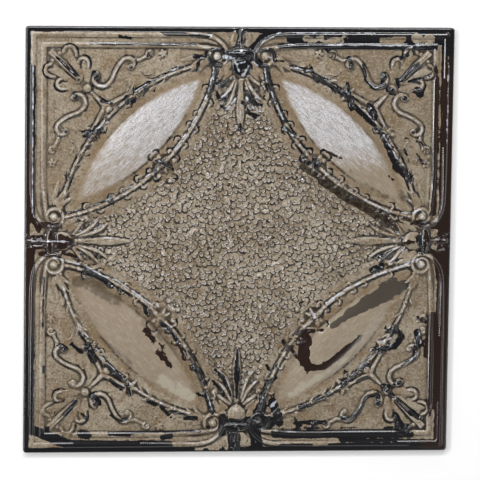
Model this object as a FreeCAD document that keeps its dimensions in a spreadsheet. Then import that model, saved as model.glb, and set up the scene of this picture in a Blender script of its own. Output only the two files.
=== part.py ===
import FreeCAD, Part
import math
import os
import Sketcher

# Pressed tin ceiling tile: one sheet of tinplate, drawn between two dies.
# It lies face up on its turned-down edges. The origin is on the floor, under the tile's middle.
# The pattern has the symmetry of a square, so one eighth of it is modelled and then mirrored.
# That eighth lies between the tile's middle, the middle of its upper edge and its right corner.
# Across is a distance from the mid-line, inset a distance in from the upper edge.
# A rise is a height over the ground, which is the flat level of the sheet's face.
# Round outlines are drawn in short chords, so that the pattern's facets stay few.

SIZES = {
    # Sheet and turned-down edge
    "side": 609.6,
    "gauge": 0.4,
    "rim_depth": 9.5,
    "corner_round": 4.4,
    "edge_roll": 3.2,
    # What every raised form shares
    "root": 0.8,
    "shoulder_out": 0.62,
    "shoulder_up": 0.8,
    "crest_out": 0.2,
    "petal_peak": 0.55,
    "chord_angle": 45.0,
    "chord_length": 32.0,
    "tail_length": 9.0,
    "tail_cover": 1.12,
    # Border mouldings and the volute that they roll into
    "outer_bead_inset": 12.6,
    "outer_bead_width": 7.4,
    "outer_bead_rise": 2.4,
    "inner_bead_inset": 25.5,
    "inner_bead_width": 8.0,
    "inner_bead_rise": 1.8,
    "inner_bead_bend": 150.0,
    "bead_leaves_edge": 76.0,
    "bead_first_turn": 25.0,
    "volute_across": 33.7,
    "volute_inset": 41.5,
    "volute_radius": 14.5,
    "volute_step": 3.9,
    "volute_turns": 2,
    "eye_radius": 7.0,
    "eye_rise": 3.4,
    "boss_sides": 6,
    # Garlands: the inner one is centred on the tile's corner, the outer one on its middle
    "inner_garland_radius": 276.0,
    "inner_garland_start": 12.0,
    "inner_garland_width": 8.0,
    "inner_garland_rise": 2.6,
    "outer_garland_radius": 257.5,
    "outer_garland_start": 12.0,
    "outer_garland_width": 6.4,
    "outer_garland_rise": 2.0,
    "garland_overrun": 2.0,
    "bud_count": 4,
    "bud_first_angle": 17.5,
    "bud_angle_step": 5.2,
    "bud_length": 17.0,
    "bud_width": 9.0,
    "bud_rise": 2.2,
    "bud_lean": 38.0,
    "berry_inset": 194.5,
    "berry_radius": 7.6,
    "berry_rise": 4.4,
    "berry_leaf_length": 26.0,
    "berry_leaf_width": 12.0,
    "berry_leaf_rise": 3.0,
    "berry_leaf_angle": 100.0,
    "knot_angle": 36.3,
    "knot_petals": 4,
    "knot_length": 16.0,
    "knot_width": 8.0,
    "knot_rise": 3.0,
    # Smooth panel between the garlands
    "lens_outer_radius": 239.0,
    "lens_inner_radius": 259.0,
    "lens_rise": 4.6,
    # Motif at the middle of each edge
    "stem_inset": 17.0,
    "stem_length": 26.0,
    "stem_width": 7.4,
    "stem_rise": 2.0,
    "clasp_inset": 36.5,
    "clasp_length": 30.0,
    "clasp_width": 16.0,
    "clasp_rise": 4.0,
    "bell_inset": 56.0,
    "bell_length": 36.0,
    "bell_width": 27.0,
    "bell_rise": 4.6,
    "spear_inset": 111.5,
    "spear_length": 76.0,
    "spear_width": 21.0,
    "spear_rise": 3.4,
    "palmette_inset": 72.0,
    "palmette_leaves": 3,
    "palmette_first_angle": 24.0,
    "palmette_angle_step": 19.0,
    "palmette_first_reach": 37.0,
    "palmette_reach_step": 9.5,
    "palmette_start": 8.0,
    "palmette_width": 9.0,
    "palmette_rise": 2.0,
    # Fan and scrolls in the corner
    "scroll_width": 5.2,
    "scroll_rise": 2.0,
    "scroll_head_across": 198.4,
    "scroll_head_inset": 72.0,
    "scroll_head_radius": 10.2,
    "scroll_head_start": 135.0,
    "scroll_curl_across": 162.2,
    "scroll_curl_inset": 52.8,
    "scroll_curl_radius": 9.4,
    "scroll_curl_end": 225.0,
    "fan_inset": 90.5,
    "fan_ball_radius": 5.8,
    "fan_ball_rise": 3.6,
    "fan_petal_start": 9.0,
    "fan_petal_rise": 2.4,
    "fan_rib_reach": 51.0,
    "fan_rib_width": 5.0,
    "fan_first_angle": 14.5,
    "fan_first_reach": 66.0,
    "fan_first_width": 18.0,
    "fan_second_angle": 34.0,
    "fan_second_reach": 46.0,
    "fan_second_width": 14.0,
    "fan_stalk_reach": 38.0,
    "fan_stalk_width": 8.0,
}

doc = FreeCAD.newDocument("ceiling_tile")
ACROSS = FreeCAD.Vector(1, 0, 0)
INWARD = FreeCAD.Vector(0, -1, 0)
UP = FreeCAD.Vector(0, 0, 1)
OUT = FreeCAD.Vector(1, 1, 0).normalize()
ALONG = FreeCAD.Vector(-1, 1, 0).normalize()


def make_dims():
    sheet = doc.addObject("Spreadsheet::Sheet", "dims")
    for row, (alias, value) in enumerate(SIZES.items(), start=1):
        sheet.set("A%d" % row, alias.replace("_", " "))
        sheet.set("B%d" % row, str(value))
        sheet.setAlias("B%d" % row, alias)
    doc.recompute()
    return sheet


dims = make_dims()


def bind(item, **expressions):
    for path, expression in expressions.items():
        item.setExpression(path, expression)
    return item


def spot(across, inset, level=0.0):
    # A place on the ground, or over it by a level
    return FreeCAD.Vector(across, dims.side / 2 - inset, dims.rim_depth + level)


def tile_middle():
    return spot(0, dims.side / 2)


def tile_corner():
    return spot(dims.side / 2, 0)


def on_diagonal(inset):
    return spot(dims.side / 2 - inset, inset)


def heading(angle):
    # A level direction, its angle in degrees from the right-hand side
    return FreeCAD.Vector(math.cos(math.radians(angle)), math.sin(math.radians(angle)), 0)


def feature(name, shape):
    item = doc.addObject("Part::Feature", name)
    item.Shape = shape
    return item


# Blank: the flat sheet with its edges turned down

def square_outline(body, name, inset):
    sketch = body.newObject("Sketcher::SketchObject", name)
    plane = [p for p in body.Origin.OriginFeatures if p.Role == "XY_Plane"][0]
    sketch.AttachmentSupport = [(plane, "")]
    sketch.MapMode = "FlatFace"
    half = dims.side / 2
    corners = [FreeCAD.Vector(x * half, y * half, 0) for x, y in ((-1, -1), (1, -1), (1, 1), (-1, 1))]
    for number in range(4):
        sketch.addGeometry(Part.LineSegment(corners[number], corners[(number + 1) % 4]), False)
    for number in range(4):
        sketch.addConstraint(Sketcher.Constraint("Coincident", number, 2, (number + 1) % 4, 1))
    for number in (0, 2):
        sketch.addConstraint(Sketcher.Constraint("Horizontal", number))
        sketch.addConstraint(Sketcher.Constraint("Vertical", number + 1))
    sketch.addConstraint(Sketcher.Constraint("Symmetric", 0, 1, 2, 1, -1, 1))
    sketch.addConstraint(Sketcher.Constraint("Equal", 0, 1))
    side = sketch.addConstraint(Sketcher.Constraint("DistanceX", 0, 1, 0, 2, dims.side))
    sketch.renameConstraint(side, "side")
    sketch.setExpression("Constraints.side", "dims.side - 2 * %s" % inset)
    return sketch


def make_blank(name, inset, depth):
    # Inset and depth are expressions: how far the sides stand in, and how far the top stands up
    body = doc.addObject("PartDesign::Body", name)
    pad = body.newObject("PartDesign::Pad", name + "_block")
    pad.Profile = square_outline(body, name + "_outline", inset)
    pad.Midplane = True
    bind(pad, Length="2 * (%s)" % depth)
    doc.recompute()
    upright = [edge for edge in pad.Shape.Edges if abs(edge.tangentAt(edge.FirstParameter).z) > 0.99]
    numbers = [k for k, edge in enumerate(pad.Shape.Edges, start=1) if any(edge.isSame(u) for u in upright)]
    corners = body.newObject("PartDesign::Fillet", name + "_corners")
    corners.Base = (pad, ["Edge%d" % k for k in numbers])
    bind(corners, Radius="dims.corner_round - %s" % inset)
    doc.recompute()
    top = max(range(len(corners.Shape.Faces)), key=lambda k: corners.Shape.Faces[k].CenterOfMass.z)
    rolled = body.newObject("PartDesign::Fillet", name + "_rolled_edge")
    rolled.Base = (corners, ["Face%d" % (top + 1)])
    bind(rolled, Radius="dims.edge_roll - %s" % inset)
    body.Tip = rolled
    return body


# Ridges: mouldings swept along runs and arcs

def arc_points(centre, radius, start, turn):
    # The chords' ends on an arc, without its first point
    by_angle = abs(turn) / dims.chord_angle
    by_length = math.radians(abs(turn)) * radius / dims.chord_length
    count = math.ceil(max(by_angle, by_length))
    return [centre + heading(start + turn * k / count) * radius for k in range(1, count + 1)]


def chain(name, points):
    line = doc.addObject("Part::Polygon", name)
    line.Nodes = points
    return line


def closed_chain(name, points):
    loop = chain(name, points)
    loop.Close = True
    return loop


def make_ridge(name, points, start_tail=False, end_tail=False):
    # Two faces that meet in a crest, on a root that goes under the ground
    width = getattr(dims, name + "_width")
    rise = getattr(dims, name + "_rise")
    half = width / 2
    outline = [(half, -dims.root), (half, 0), (0, rise), (-half, 0), (-half, -dims.root)]
    profile = closed_chain(name + "_profile", [FreeCAD.Vector(x, 0, z) for x, z in outline])
    onward = (points[1] - points[0]).normalize()
    profile.Placement = FreeCAD.Placement(points[0], FreeCAD.Rotation(onward.cross(UP), onward, UP, "ZYX"))
    ridge = doc.addObject("Part::Sweep", name)
    ridge.Sections = [profile]
    ridge.Spine = (chain(name + "_path", points), ["Edge%d" % k for k in range(1, len(points))])
    ridge.Solid = True
    ridge.Transition = "Right corner"
    pieces = [ridge]
    if start_tail:
        pieces.append(make_tail(name + "_start", points[0], points[1], width, rise))
    if end_tail:
        pieces.append(make_tail(name + "_end", points[-1], points[-2], width, rise))
    return pieces


def make_tail(name, end, before, width, rise):
    # A ridge's free end runs out in a point
    run = (end - before).normalize() * dims.tail_length
    return make_petal(name, end - run, end + run, width * dims.tail_cover, rise * dims.tail_cover, 0.5)


def outer_bead_points():
    # From the corner mitre along the edge, in two bends to the volute's side, and round its turns
    leave = spot(dims.bead_leaves_edge, dims.outer_bead_inset)
    arrive = spot(dims.volute_across - dims.volute_radius, dims.volute_inset)
    turn = math.radians(dims.bead_first_turn)
    gap = leave - arrive
    # Two bends that turn the bead by a right angle between them and end exactly at the volute
    rest = 1 - math.sin(turn)
    lift = 1 - math.cos(turn)
    wide = (gap.x * math.cos(turn) - gap.y * rest) / (math.sin(turn) * math.cos(turn) - lift * rest)
    tight = (gap.y - wide * lift) / math.cos(turn)
    points = [spot(dims.side / 2, dims.outer_bead_inset), leave]
    points += arc_points(leave + INWARD * wide, wide, 90, dims.bead_first_turn)
    centre = points[-1] - heading(90 + dims.bead_first_turn) * tight
    points += arc_points(centre, tight, 90 + dims.bead_first_turn, 90 - dims.bead_first_turn)
    return points + volute_points()


def volute_points():
    # Half turns, each one step smaller than the last
    points = []
    centre = spot(dims.volute_across, dims.volute_inset)
    for number in range(int(dims.volute_turns)):
        radius = dims.volute_radius - dims.volute_step * number
        points += arc_points(centre, radius, 180 * (number + 1), 180)
        centre = centre + ACROSS * (dims.volute_step * (-1) ** number)
    return points


def inner_bead_points():
    # From the corner mitre along the outer bead, and in a gentle bend to the top of the volute
    leave = spot(dims.bead_leaves_edge, dims.inner_bead_inset)
    bend = dims.inner_bead_bend
    angle = math.degrees(math.asin((dims.bead_leaves_edge - dims.volute_across) / bend))
    return [spot(dims.side / 2, dims.inner_bead_inset), leave] + arc_points(leave + INWARD * bend, bend, 90, angle)


def scroll_points():
    # Head and curl, wound opposite ways, with the straight run that touches both
    head = spot(dims.scroll_head_across, dims.scroll_head_inset)
    curl = spot(dims.scroll_curl_across, dims.scroll_curl_inset)
    gap = curl - head
    reach = dims.scroll_head_radius + dims.scroll_curl_radius
    run = math.sqrt(gap.Length ** 2 - reach ** 2)
    course = math.degrees(math.atan2(gap.y, gap.x) - math.atan2(reach, run))
    start = dims.scroll_head_start
    points = [head + heading(start) * dims.scroll_head_radius]
    points += arc_points(head, dims.scroll_head_radius, start, course - 270 - start)
    points.append(curl + heading(course - 90) * dims.scroll_curl_radius)
    return points + arc_points(curl, dims.scroll_curl_radius, course - 90, dims.scroll_curl_end + 90 - course)


def garland_points(centre, radius, start, turn):
    return [centre + heading(start) * radius] + arc_points(centre, radius, start, turn)


# Raised forms: every wall slopes, so that the dies can draw the sheet over it

def make_mound(name, middle, outline, rise):
    # Tiers of one outline, each smaller and higher: the buried root, the foot, the shoulder and the crest
    foot_slope = (1 - dims.shoulder_out) / (dims.shoulder_up * rise)
    tiers = [
        (1 + foot_slope * dims.root, -dims.root),
        (dims.shoulder_out, dims.shoulder_up * rise),
        (dims.crest_out, rise),
    ]
    rings = [[middle + point * share + UP * level for point in outline] for share, level in tiers]
    return make_facets(name, rings)


def make_petal(name, base, tip, width, rise, peak_share=None):
    # A pointed petal with a keel: its outline is drawn up to one peak
    share = dims.petal_peak if peak_share is None else peak_share
    flank = base + (tip - base) * share
    peak = flank + UP * rise
    side = (tip - base).normalize().cross(UP) * (width / 2)
    deepen = (rise + dims.root) / rise
    outline = [peak + (point - peak) * deepen for point in (base, flank + side, tip, flank - side)]
    return make_facets(name, [outline, [peak]])


def flat_face(points):
    return Part.Face(Part.makePolygon(points + points[:1]))


def make_facets(name, rings):
    # A solid of flat facets drawn up from ring to ring; a ring of one point is a peak
    faces = [flat_face(rings[0])]
    for lower, upper in zip(rings, rings[1:]):
        for k in range(len(lower)):
            above = upper if len(upper) == 1 else [upper[k], upper[k - 1]]
            faces.append(flat_face([lower[k - 1], lower[k]] + above))
    if len(rings[-1]) > 1:
        faces.append(flat_face(rings[-1]))
    solid = Part.makeSolid(Part.makeShell(faces))
    if solid.Volume < 0:
        solid.reverse()
    return feature(name, solid)


def make_boss(name, middle):
    # A round boss
    radius = getattr(dims, name + "_radius")
    sides = int(dims.boss_sides)
    outline = [heading(360 / sides * (k + 0.5)) * radius for k in range(sides)]
    return make_mound(name, middle, outline, getattr(dims, name + "_rise"))


def make_leaf(name, along):
    # A pointed leaf between two equal arcs
    length = getattr(dims, name + "_length")
    width = getattr(dims, name + "_width")
    bow = (length ** 2 + width ** 2) / (4 * width)
    turn = 2 * math.degrees(math.asin(length / 2 / bow))
    course = math.degrees(math.atan2(along.y, along.x))
    outline = []
    for side in (90, -90):
        centre = heading(course + side) * (width / 2 - bow)
        outline += arc_points(centre, bow, course + side - turn / 2, turn)
    return make_mound(name, spot(0, getattr(dims, name + "_inset")), outline, getattr(dims, name + "_rise"))


def make_lens():
    # The smooth pillow between the two garlands
    apart = tile_corner().sub(tile_middle()).Length
    outer = dims.lens_outer_radius
    inner = dims.lens_inner_radius
    chord = (apart ** 2 + outer ** 2 - inner ** 2) / (2 * apart)
    half_length = math.sqrt(outer ** 2 - chord ** 2)
    outer_turn = 2 * math.degrees(math.asin(half_length / outer))
    inner_turn = 2 * math.degrees(math.asin(half_length / inner))
    middle = tile_middle() + OUT * chord
    outline = arc_points(tile_middle() - middle, outer, 45 - outer_turn / 2, outer_turn)
    outline += arc_points(tile_corner() - middle, inner, 225 - inner_turn / 2, inner_turn)
    return make_mound("lens", middle, outline, dims.lens_rise)


# Motifs

def border():
    eye = spot(dims.volute_across, dims.volute_inset)
    return (
        make_ridge("outer_bead", outer_bead_points())
        + make_ridge("inner_bead", inner_bead_points(), end_tail=True)
        + [make_boss("eye", eye)]
    )


def mid_edge_motif():
    pieces = [make_leaf(name, INWARD) for name in ("stem", "bell", "spear")]
    pieces.append(make_leaf("clasp", ACROSS))
    source = spot(0, dims.palmette_inset)
    for number in range(int(dims.palmette_leaves)):
        course = heading(-dims.palmette_first_angle - dims.palmette_angle_step * number)
        reach = dims.palmette_first_reach + dims.palmette_reach_step * number
        base = source + course * dims.palmette_start
        name = "palmette_leaf_%d" % number
        pieces.append(make_petal(name, base, source + course * reach, dims.palmette_width, dims.palmette_rise))
    return pieces


def garland_buds():
    # Buds in pairs along the inner garland, leaning out to both sides
    pieces = []
    for number in range(int(dims.bud_count)):
        angle = dims.bud_first_angle + dims.bud_angle_step * number
        base = tile_corner() + heading(180 + angle) * dims.inner_garland_radius
        for side in (-1, 1):
            tip = base + heading(270 + angle + side * dims.bud_lean) * dims.bud_length
            name = "bud_%d_%s" % (number, "outer" if side > 0 else "inner")
            pieces.append(make_petal(name, base, tip, dims.bud_width, dims.bud_rise))
    return pieces


def garlands():
    inner_turn = 45 + dims.garland_overrun - dims.inner_garland_start
    inner = garland_points(
        tile_corner(), dims.inner_garland_radius, 180 + dims.inner_garland_start, inner_turn
    )
    outer_turn = 45 + dims.garland_overrun - dims.outer_garland_start
    outer = garland_points(
        tile_middle(), dims.outer_garland_radius, 90 - dims.outer_garland_start, -outer_turn
    )
    pieces = make_ridge("inner_garland", inner, start_tail=True)
    pieces += make_ridge("outer_garland", outer, start_tail=True)
    berry = on_diagonal(dims.berry_inset)
    for number, angle in enumerate((45, 225, dims.berry_leaf_angle)):
        tip = berry + heading(angle) * dims.berry_leaf_length
        name = "berry_leaf_%d" % number
        pieces.append(make_petal(name, berry, tip, dims.berry_leaf_width, dims.berry_leaf_rise))
    knot = tile_middle() + heading(90 - dims.knot_angle) * dims.outer_garland_radius
    for number in range(int(dims.knot_petals)):
        tip = knot + heading(90 - dims.knot_angle + 360 / dims.knot_petals * number) * dims.knot_length
        pieces.append(make_petal("knot_petal_%d" % number, knot, tip, dims.knot_width, dims.knot_rise))
    return pieces + garland_buds() + [make_boss("berry", berry)]


def corner_fan():
    ball = on_diagonal(dims.fan_inset)
    petals = [
        ("fan_rib", 0, dims.fan_rib_reach, dims.fan_rib_width),
        ("fan_first", dims.fan_first_angle, dims.fan_first_reach, dims.fan_first_width),
        ("fan_second", dims.fan_second_angle, dims.fan_second_reach, dims.fan_second_width),
        ("fan_stalk", 180, dims.fan_stalk_reach, dims.fan_stalk_width),
    ]
    pieces = []
    for name, angle, reach, width in petals:
        course = heading(45 + angle)
        base = ball + course * dims.fan_petal_start
        pieces.append(make_petal(name, base, ball + course * reach, width, dims.fan_petal_rise))
    scroll = make_ridge("scroll", scroll_points(), start_tail=True, end_tail=True)
    return pieces + scroll + [make_boss("fan_ball", ball)]


# The sheet: what lies between the face and the same relief one gauge lower

def fused(name, shapes):
    joined = doc.addObject("Part::MultiFuse", name)
    joined.Shapes = shapes
    joined.Refine = False
    return joined


def make_wedge():
    far = dims.side
    corners = [FreeCAD.Vector(x, y, 0) for x, y in ((0, 0), (far, far), (0, far), (0, 0))]
    outline = feature("eighth_outline", Part.Face(Part.makePolygon(corners)))
    wedge = doc.addObject("Part::Extrusion", "eighth")
    wedge.Base = outline
    wedge.Dir = UP
    bind(wedge, LengthFwd="dims.side")
    return wedge


def make_eighth():
    groups = {"border": border(), "mid_edge": mid_edge_motif(), "garlands": garlands(), "fan": corner_fan()}
    motifs = [fused(name, pieces) for name, pieces in groups.items()]
    relief = fused("relief", motifs + [make_lens()])
    face = fused("face", [make_blank("blank", "0", "dims.rim_depth"), relief])
    front = doc.addObject("Part::Common", "front_eighth")
    front.Base = face
    front.Tool = make_wedge()
    lowered = doc.addObject("App::Link", "relief_lowered")
    lowered.LinkedObject = relief
    lowered.Placement.Base = UP * -dims.gauge
    hollow = make_blank("hollow", "dims.gauge", "dims.rim_depth - dims.gauge")
    sheet = doc.addObject("Part::Cut", "sheet_eighth")
    sheet.Base = front
    sheet.Tool = fused("back", [hollow, lowered])
    return sheet


def mirrored(source, name, normal):
    image = doc.addObject("Part::Mirroring", name + "_image")
    image.Source = source
    image.Normal = normal
    return fused(name, [source, image])


def check_document():
    for item in doc.Objects:
        if {"Invalid", "Error"} & set(item.State):
            raise RuntimeError("%s failed" % item.Name)


def main():
    quarter = mirrored(make_eighth(), "quarter", ALONG)
    half = mirrored(quarter, "half", ACROSS)
    tile = mirrored(half, "tile", INWARD)
    tile.Label = "pressed_sheet"
    doc.recompute()
    check_document()
    shape = tile.Shape
    if shape.isNull() or not shape.isValid() or len(shape.Solids) != 1:
        raise RuntimeError("the sheet is not one valid solid")
    os.makedirs("parts", exist_ok=True)
    shape.exportStep("parts/%s.step" % tile.Label)
    print("%s: volume %.0f mm3, %d faces" % (tile.Label, shape.Volume, len(shape.Faces)))


main()
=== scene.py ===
import bpy
import math
import numpy as np
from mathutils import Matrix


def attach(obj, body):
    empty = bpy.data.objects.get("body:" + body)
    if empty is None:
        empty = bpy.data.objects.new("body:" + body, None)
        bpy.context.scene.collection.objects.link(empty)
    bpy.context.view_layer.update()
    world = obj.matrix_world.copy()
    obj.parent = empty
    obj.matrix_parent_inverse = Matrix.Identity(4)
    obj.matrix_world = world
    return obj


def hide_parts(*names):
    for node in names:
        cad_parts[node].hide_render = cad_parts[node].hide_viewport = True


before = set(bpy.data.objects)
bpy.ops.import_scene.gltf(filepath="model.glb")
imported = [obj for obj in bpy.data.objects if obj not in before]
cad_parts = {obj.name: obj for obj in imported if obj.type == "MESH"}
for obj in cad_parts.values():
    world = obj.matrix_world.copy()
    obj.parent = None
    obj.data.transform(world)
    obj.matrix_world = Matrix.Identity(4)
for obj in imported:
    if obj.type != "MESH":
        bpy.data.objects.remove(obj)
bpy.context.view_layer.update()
print("frame loaded:", sorted(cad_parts))

# Sizes of the pattern are in millimetres. "Across" is a distance from the middle of an edge,
# "inset" a distance in from that edge. The pattern has the symmetry of a square, so it is
# drawn once on one eighth and then laid out over the whole tile.
sheet = {
    "side": 609.6,
    "groundLevel": 9.5,
    "highest": 4.55,          # of the relief over the ground
    "lowest": -0.5,
    "flatRim": (3.2, 6.0),    # inset at which the relief starts, and where it is whole
    "gauge": 0.45,            # a little over the real one, which keeps face and back apart
    "rollRadius": 3.2,
    "cornerRadius": 4.4,
    "rollSteps": 4,
    "coarseCells": 48,        # across the tile, before any are divided
    "divisions": 3,           # how often a coarse cell may be divided
    "frontTriangles": 158000,
    "backTriangles": 22000,
    "dentDepth": 0.35,
    "dentSize": 90.0,         # from one dent to the next
    "dentFade": 30.0,         # the dents die out towards the edge
}

half = sheet["side"] / 2
fieldHalf = half - sheet["rollRadius"]
fineCells = sheet["coarseCells"] * 2 ** (sheet["divisions"] + 1)
fineStep = 2 * fieldHalf / fineCells
halfCount = fineCells // 2
pointsAcross = fineCells + 1

steps = np.arange(halfCount + 1)
rowIndex, columnIndex = np.meshgrid(steps, steps, indexing="ij")
inEighth = columnIndex <= rowIndex
across = (columnIndex * fineStep)[inEighth]
inset = (half - rowIndex * fineStep)[inEighth]
height = np.zeros(across.shape)
bare = np.zeros(across.shape)       # where the paint has gone
ochre = np.zeros(across.shape)      # where dirt has yellowed it
panel = np.zeros(across.shape)      # where the smooth lens panels are


def smooth(low, high, value):
    t = np.clip((value - low) / (high - low), 0, 1)
    return t * t * (3 - 2 * t)


def keepHighest(values, near, form):
    # forms that overlap don't add up: the higher one stands
    values[near] = np.maximum(values[near], form)


def smoothPath(points, steps=6):
    # a curve through the points
    p = np.array([points[0]] + list(points) + [points[-1]], float)
    out = []
    for k in range(1, len(p) - 2):
        a, b, c, d = p[k - 1:k + 3]
        for t in np.arange(steps) / steps:
            out.append(0.5 * (2 * b + (c - a) * t + (2 * a - 5 * b + 4 * c - d) * t ** 2
                              + (3 * b - a - 3 * c + d) * t ** 3))
    out.append(p[-1])
    return np.array(out)


def arcPath(centre, radius, start, end, endRadius=None, steps=40):
    # angles turn from across towards inset
    turn = np.radians(np.linspace(start, end, steps))
    reach = np.linspace(radius, radius if endRadius is None else endRadius, steps)
    return np.stack([centre[0] + reach * np.cos(turn), centre[1] + reach * np.sin(turn)], 1)


def follow(path, margin):
    # for the points near a path: which they are, how far off it and how far along it, and its length;
    # a list of places is made a curve first
    path = smoothPath(path) if isinstance(path, list) else path
    low, high = path.min(0) - margin, path.max(0) + margin
    inBox = (across > low[0]) & (across < high[0]) & (inset > low[1]) & (inset < high[1])
    near = np.nonzero(inBox)[0]
    x, y = across[near], inset[near]
    off = np.full(x.shape, 1e6)
    along = np.zeros(x.shape)
    runs = np.linalg.norm(np.diff(path, axis=0), axis=1)
    gone = 0.0
    for (ax, ay), (bx, by), run in zip(path[:-1], path[1:], runs):
        dx, dy = bx - ax, by - ay
        t = np.clip(((x - ax) * dx + (y - ay) * dy) / max(run * run, 1e-9), 0, 1)
        d = np.hypot(x - ax - t * dx, y - ay - t * dy)
        closer = d < off
        off[closer] = d[closer]
        along[closer] = gone + t[closer] * run
        gone += run
    return near, off, along, gone


def spread(value, share):
    # one number, or several spaced evenly along a path
    if np.isscalar(value):
        return value
    return np.interp(share, np.linspace(0, 1, len(value)), value)


def raiseRidge(path, halfWidth, rise, fullness=1.0, worn=0.0, dirty=0.0, joints=None):
    # a ridge along a path; joints swell it at even steps like a twig
    near, off, along, length = follow(path, np.max(halfWidth) * 2.0)
    share = along / max(length, 1e-6)
    w = np.maximum(spread(halfWidth, share), 0.05)
    top = spread(rise, share)
    if joints:
        phase = (along / joints) % 1.0
        knob = np.exp(-((phase - 0.12) / 0.08) ** 2)
        neck = np.exp(-((phase - 0.93) / 0.07) ** 2)
        w = w * (0.8 + 0.55 * knob - 0.25 * neck)
        top = top * (0.9 + 0.15 * knob - 0.55 * neck)
    t = off / w
    form = top * np.clip(1 - t ** 2, 0, 1) ** fullness
    keepHighest(height, near, form)
    keepHighest(bare, near, worn * smooth(1.25, 0.7, t))
    keepHighest(ochre, near, dirty * np.exp(-((t - 1.35) / 0.4) ** 2))


def raiseBall(centre, radius, rise, fullness=0.7, worn=0.0, dirty=0.0, hollow=0.0, flutes=0):
    # a boss; hollow sinks its middle, and flutes notch its edge like petals
    d = np.hypot(across - centre[0], inset - centre[1])
    near = np.nonzero(d < radius * 1.7)[0]
    t = d[near] / radius
    if flutes:
        turn = np.arctan2(inset[near] - centre[1], across[near] - centre[0])
        t = t / (0.78 + 0.22 * np.cos(turn * flutes))
    form = rise * np.clip(1 - t ** 2, 0, 1) ** fullness
    form = form - hollow * rise * np.exp(-(t / 0.42) ** 2)
    keepHighest(height, near, form)
    keepHighest(bare, near, worn * smooth(1.15, 0.7, t))
    keepHighest(ochre, near, dirty * np.exp(-((t - 1.25) / 0.3) ** 2))


def carve(path, halfWidth, depth, worn=0.0, dirty=0.0):
    # a groove along a path
    near, off, along, length = follow(path, np.max(halfWidth) * 2.0)
    share = along / max(length, 1e-6)
    t = off / np.maximum(spread(halfWidth, share), 0.05)
    height[near] -= spread(depth, share) * np.exp(-t ** 2 * 1.5)
    keepHighest(bare, near, worn * smooth(1.2, 0.5, t))
    keepHighest(ochre, near, dirty * np.exp(-t ** 2))


def raiseLeaf(path, halfWidth, rise, worn=0.0, dirty=0.0, vein=0.35):
    # a leaf along a bent midrib, widest near its foot, with a vein down it
    near, off, along, length = follow(path, halfWidth * 1.8)
    share = along / length
    outline = np.sin(np.clip(share, 0.0, 1.0) * math.pi) ** 0.55 * (1.12 - 0.45 * share)
    t = off / np.maximum(halfWidth * outline, 0.05)
    form = rise * np.clip(1 - t ** 2.4, 0, 1) ** 0.8 * (0.75 + 0.35 * share)
    form = form - vein * rise * np.exp(-(off / 0.9) ** 2)
    keepHighest(height, near, np.where(t < 1, form, 0))
    keepHighest(bare, near, worn * smooth(1.05, 0.6, t) * share)
    keepHighest(ochre, near, dirty * np.exp(-((t - 1.2) / 0.3) ** 2))


# two beads, with a low band between them, that roll into a volute beside each motif
border = {
    "outerBead": 11.4, "outerHalf": [4.4, 4.4, 4.3, 4.2, 4.0, 3.4, 2.8, 2.5], "outerRise": 2.4,
    "band": 18.6, "bandHalf": 3.4, "bandRise": 0.6,
    "innerBead": 26.0, "innerHalf": [3.6, 3.6, 3.6, 3.0, 2.2], "innerRise": 1.9,
    "voluteCentre": (34.0, 41.8), "voluteRadius": 14.6, "voluteInner": 7.6,
    "eyeRadius": 5.9, "eyeRise": 3.2,
}


def drawBorder():
    b = border
    far = 300                 # the beads run on past the diagonal
    cx, cy = b["voluteCentre"]
    outer = [(far, b["outerBead"]), (200, b["outerBead"]), (91, 11.4), (62, 11.6), (48, 13.0), (38, 16.0),
             (30.5, 20.8), (24.6, 26.6), (20.7, 33.4), (cx - b["voluteRadius"], cy)]
    raiseRidge(outer, b["outerHalf"], b["outerRise"], 0.8, worn=0.1)
    spiral = arcPath(b["voluteCentre"], b["voluteRadius"], 180, -250, b["voluteInner"], 60)
    raiseRidge(spiral, [2.7, 2.5, 2.1, 1.7], [2.7, 2.7, 2.5, 2.2], 0.7, worn=0.35, dirty=0.3)
    band = [(far, b["band"]), (120, b["band"]), (91, 18.4), (70, 18.0), (50, 18.4), (41, 20.4),
            (34.3, 23.4)]
    raiseRidge(band, b["bandHalf"], b["bandRise"], 0.6)
    inner = [(far, b["innerBead"]), (120, b["innerBead"]), (91, 26.4), (70, 27.4), (56, 28.8), (45, 29.8),
             (36, 30.6)]
    raiseRidge(inner, b["innerHalf"], b["innerRise"], 0.7, worn=0.22)
    raiseBall(b["voluteCentre"], b["eyeRadius"], b["eyeRise"], 0.6, worn=0.2, dirty=0.4)
    carve(arcPath(b["voluteCentre"], 3.6, 0, 360), 0.8, 0.7, worn=0.3)
    raiseBall((46.6, 51.5), 2.6, 2.4, worn=0.5)
    for tip, wide in (((62, 47), 3.0), ((70, 54.5), 3.4), ((73, 63.0), 3.4), ((61, 66), 3.2)):
        middle = ((46 + tip[0]) / 2 + 1.5, (49 + tip[1]) / 2 - 2.0)
        raiseLeaf([(45, 48), middle, tip], wide, 2.0, worn=0.45, dirty=0.5)
    raiseLeaf([(50, 42), (66, 43), (88, 49)], 3.4, 0.9, dirty=0.3, vein=0.1)


# the half motif at the middle of each edge; outlines are given as inset and half width
midEdge = {
    "bellHalf": [(43.5, 8.5), (48, 12.2), (54, 13.8), (59, 12.6), (64, 9.0), (68, 4.6), (71.5, 0.4)],
    "bellRise": 4.4, "bellFlutes": 1.6,
    "spearHalf": [(70, 1.6), (78, 2.8), (88, 3.2), (98, 3.9), (108, 5.0), (116, 5.8), (122, 5.8),
                  (130, 5.0), (138, 3.7), (145, 2.3), (151, 0.4)],
    "spearRise": 2.2,
}


def insideOutline(outline, reach):
    # the points that an outline on the mid-line covers, and how far out they lie, from 0 to 1
    insets, widths = zip(*outline)
    near = np.nonzero((across < reach) & (inset > insets[0]) & (inset < insets[-1]))[0]
    return near, across[near] / np.maximum(np.interp(inset[near], insets, widths), 0.1)


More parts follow.
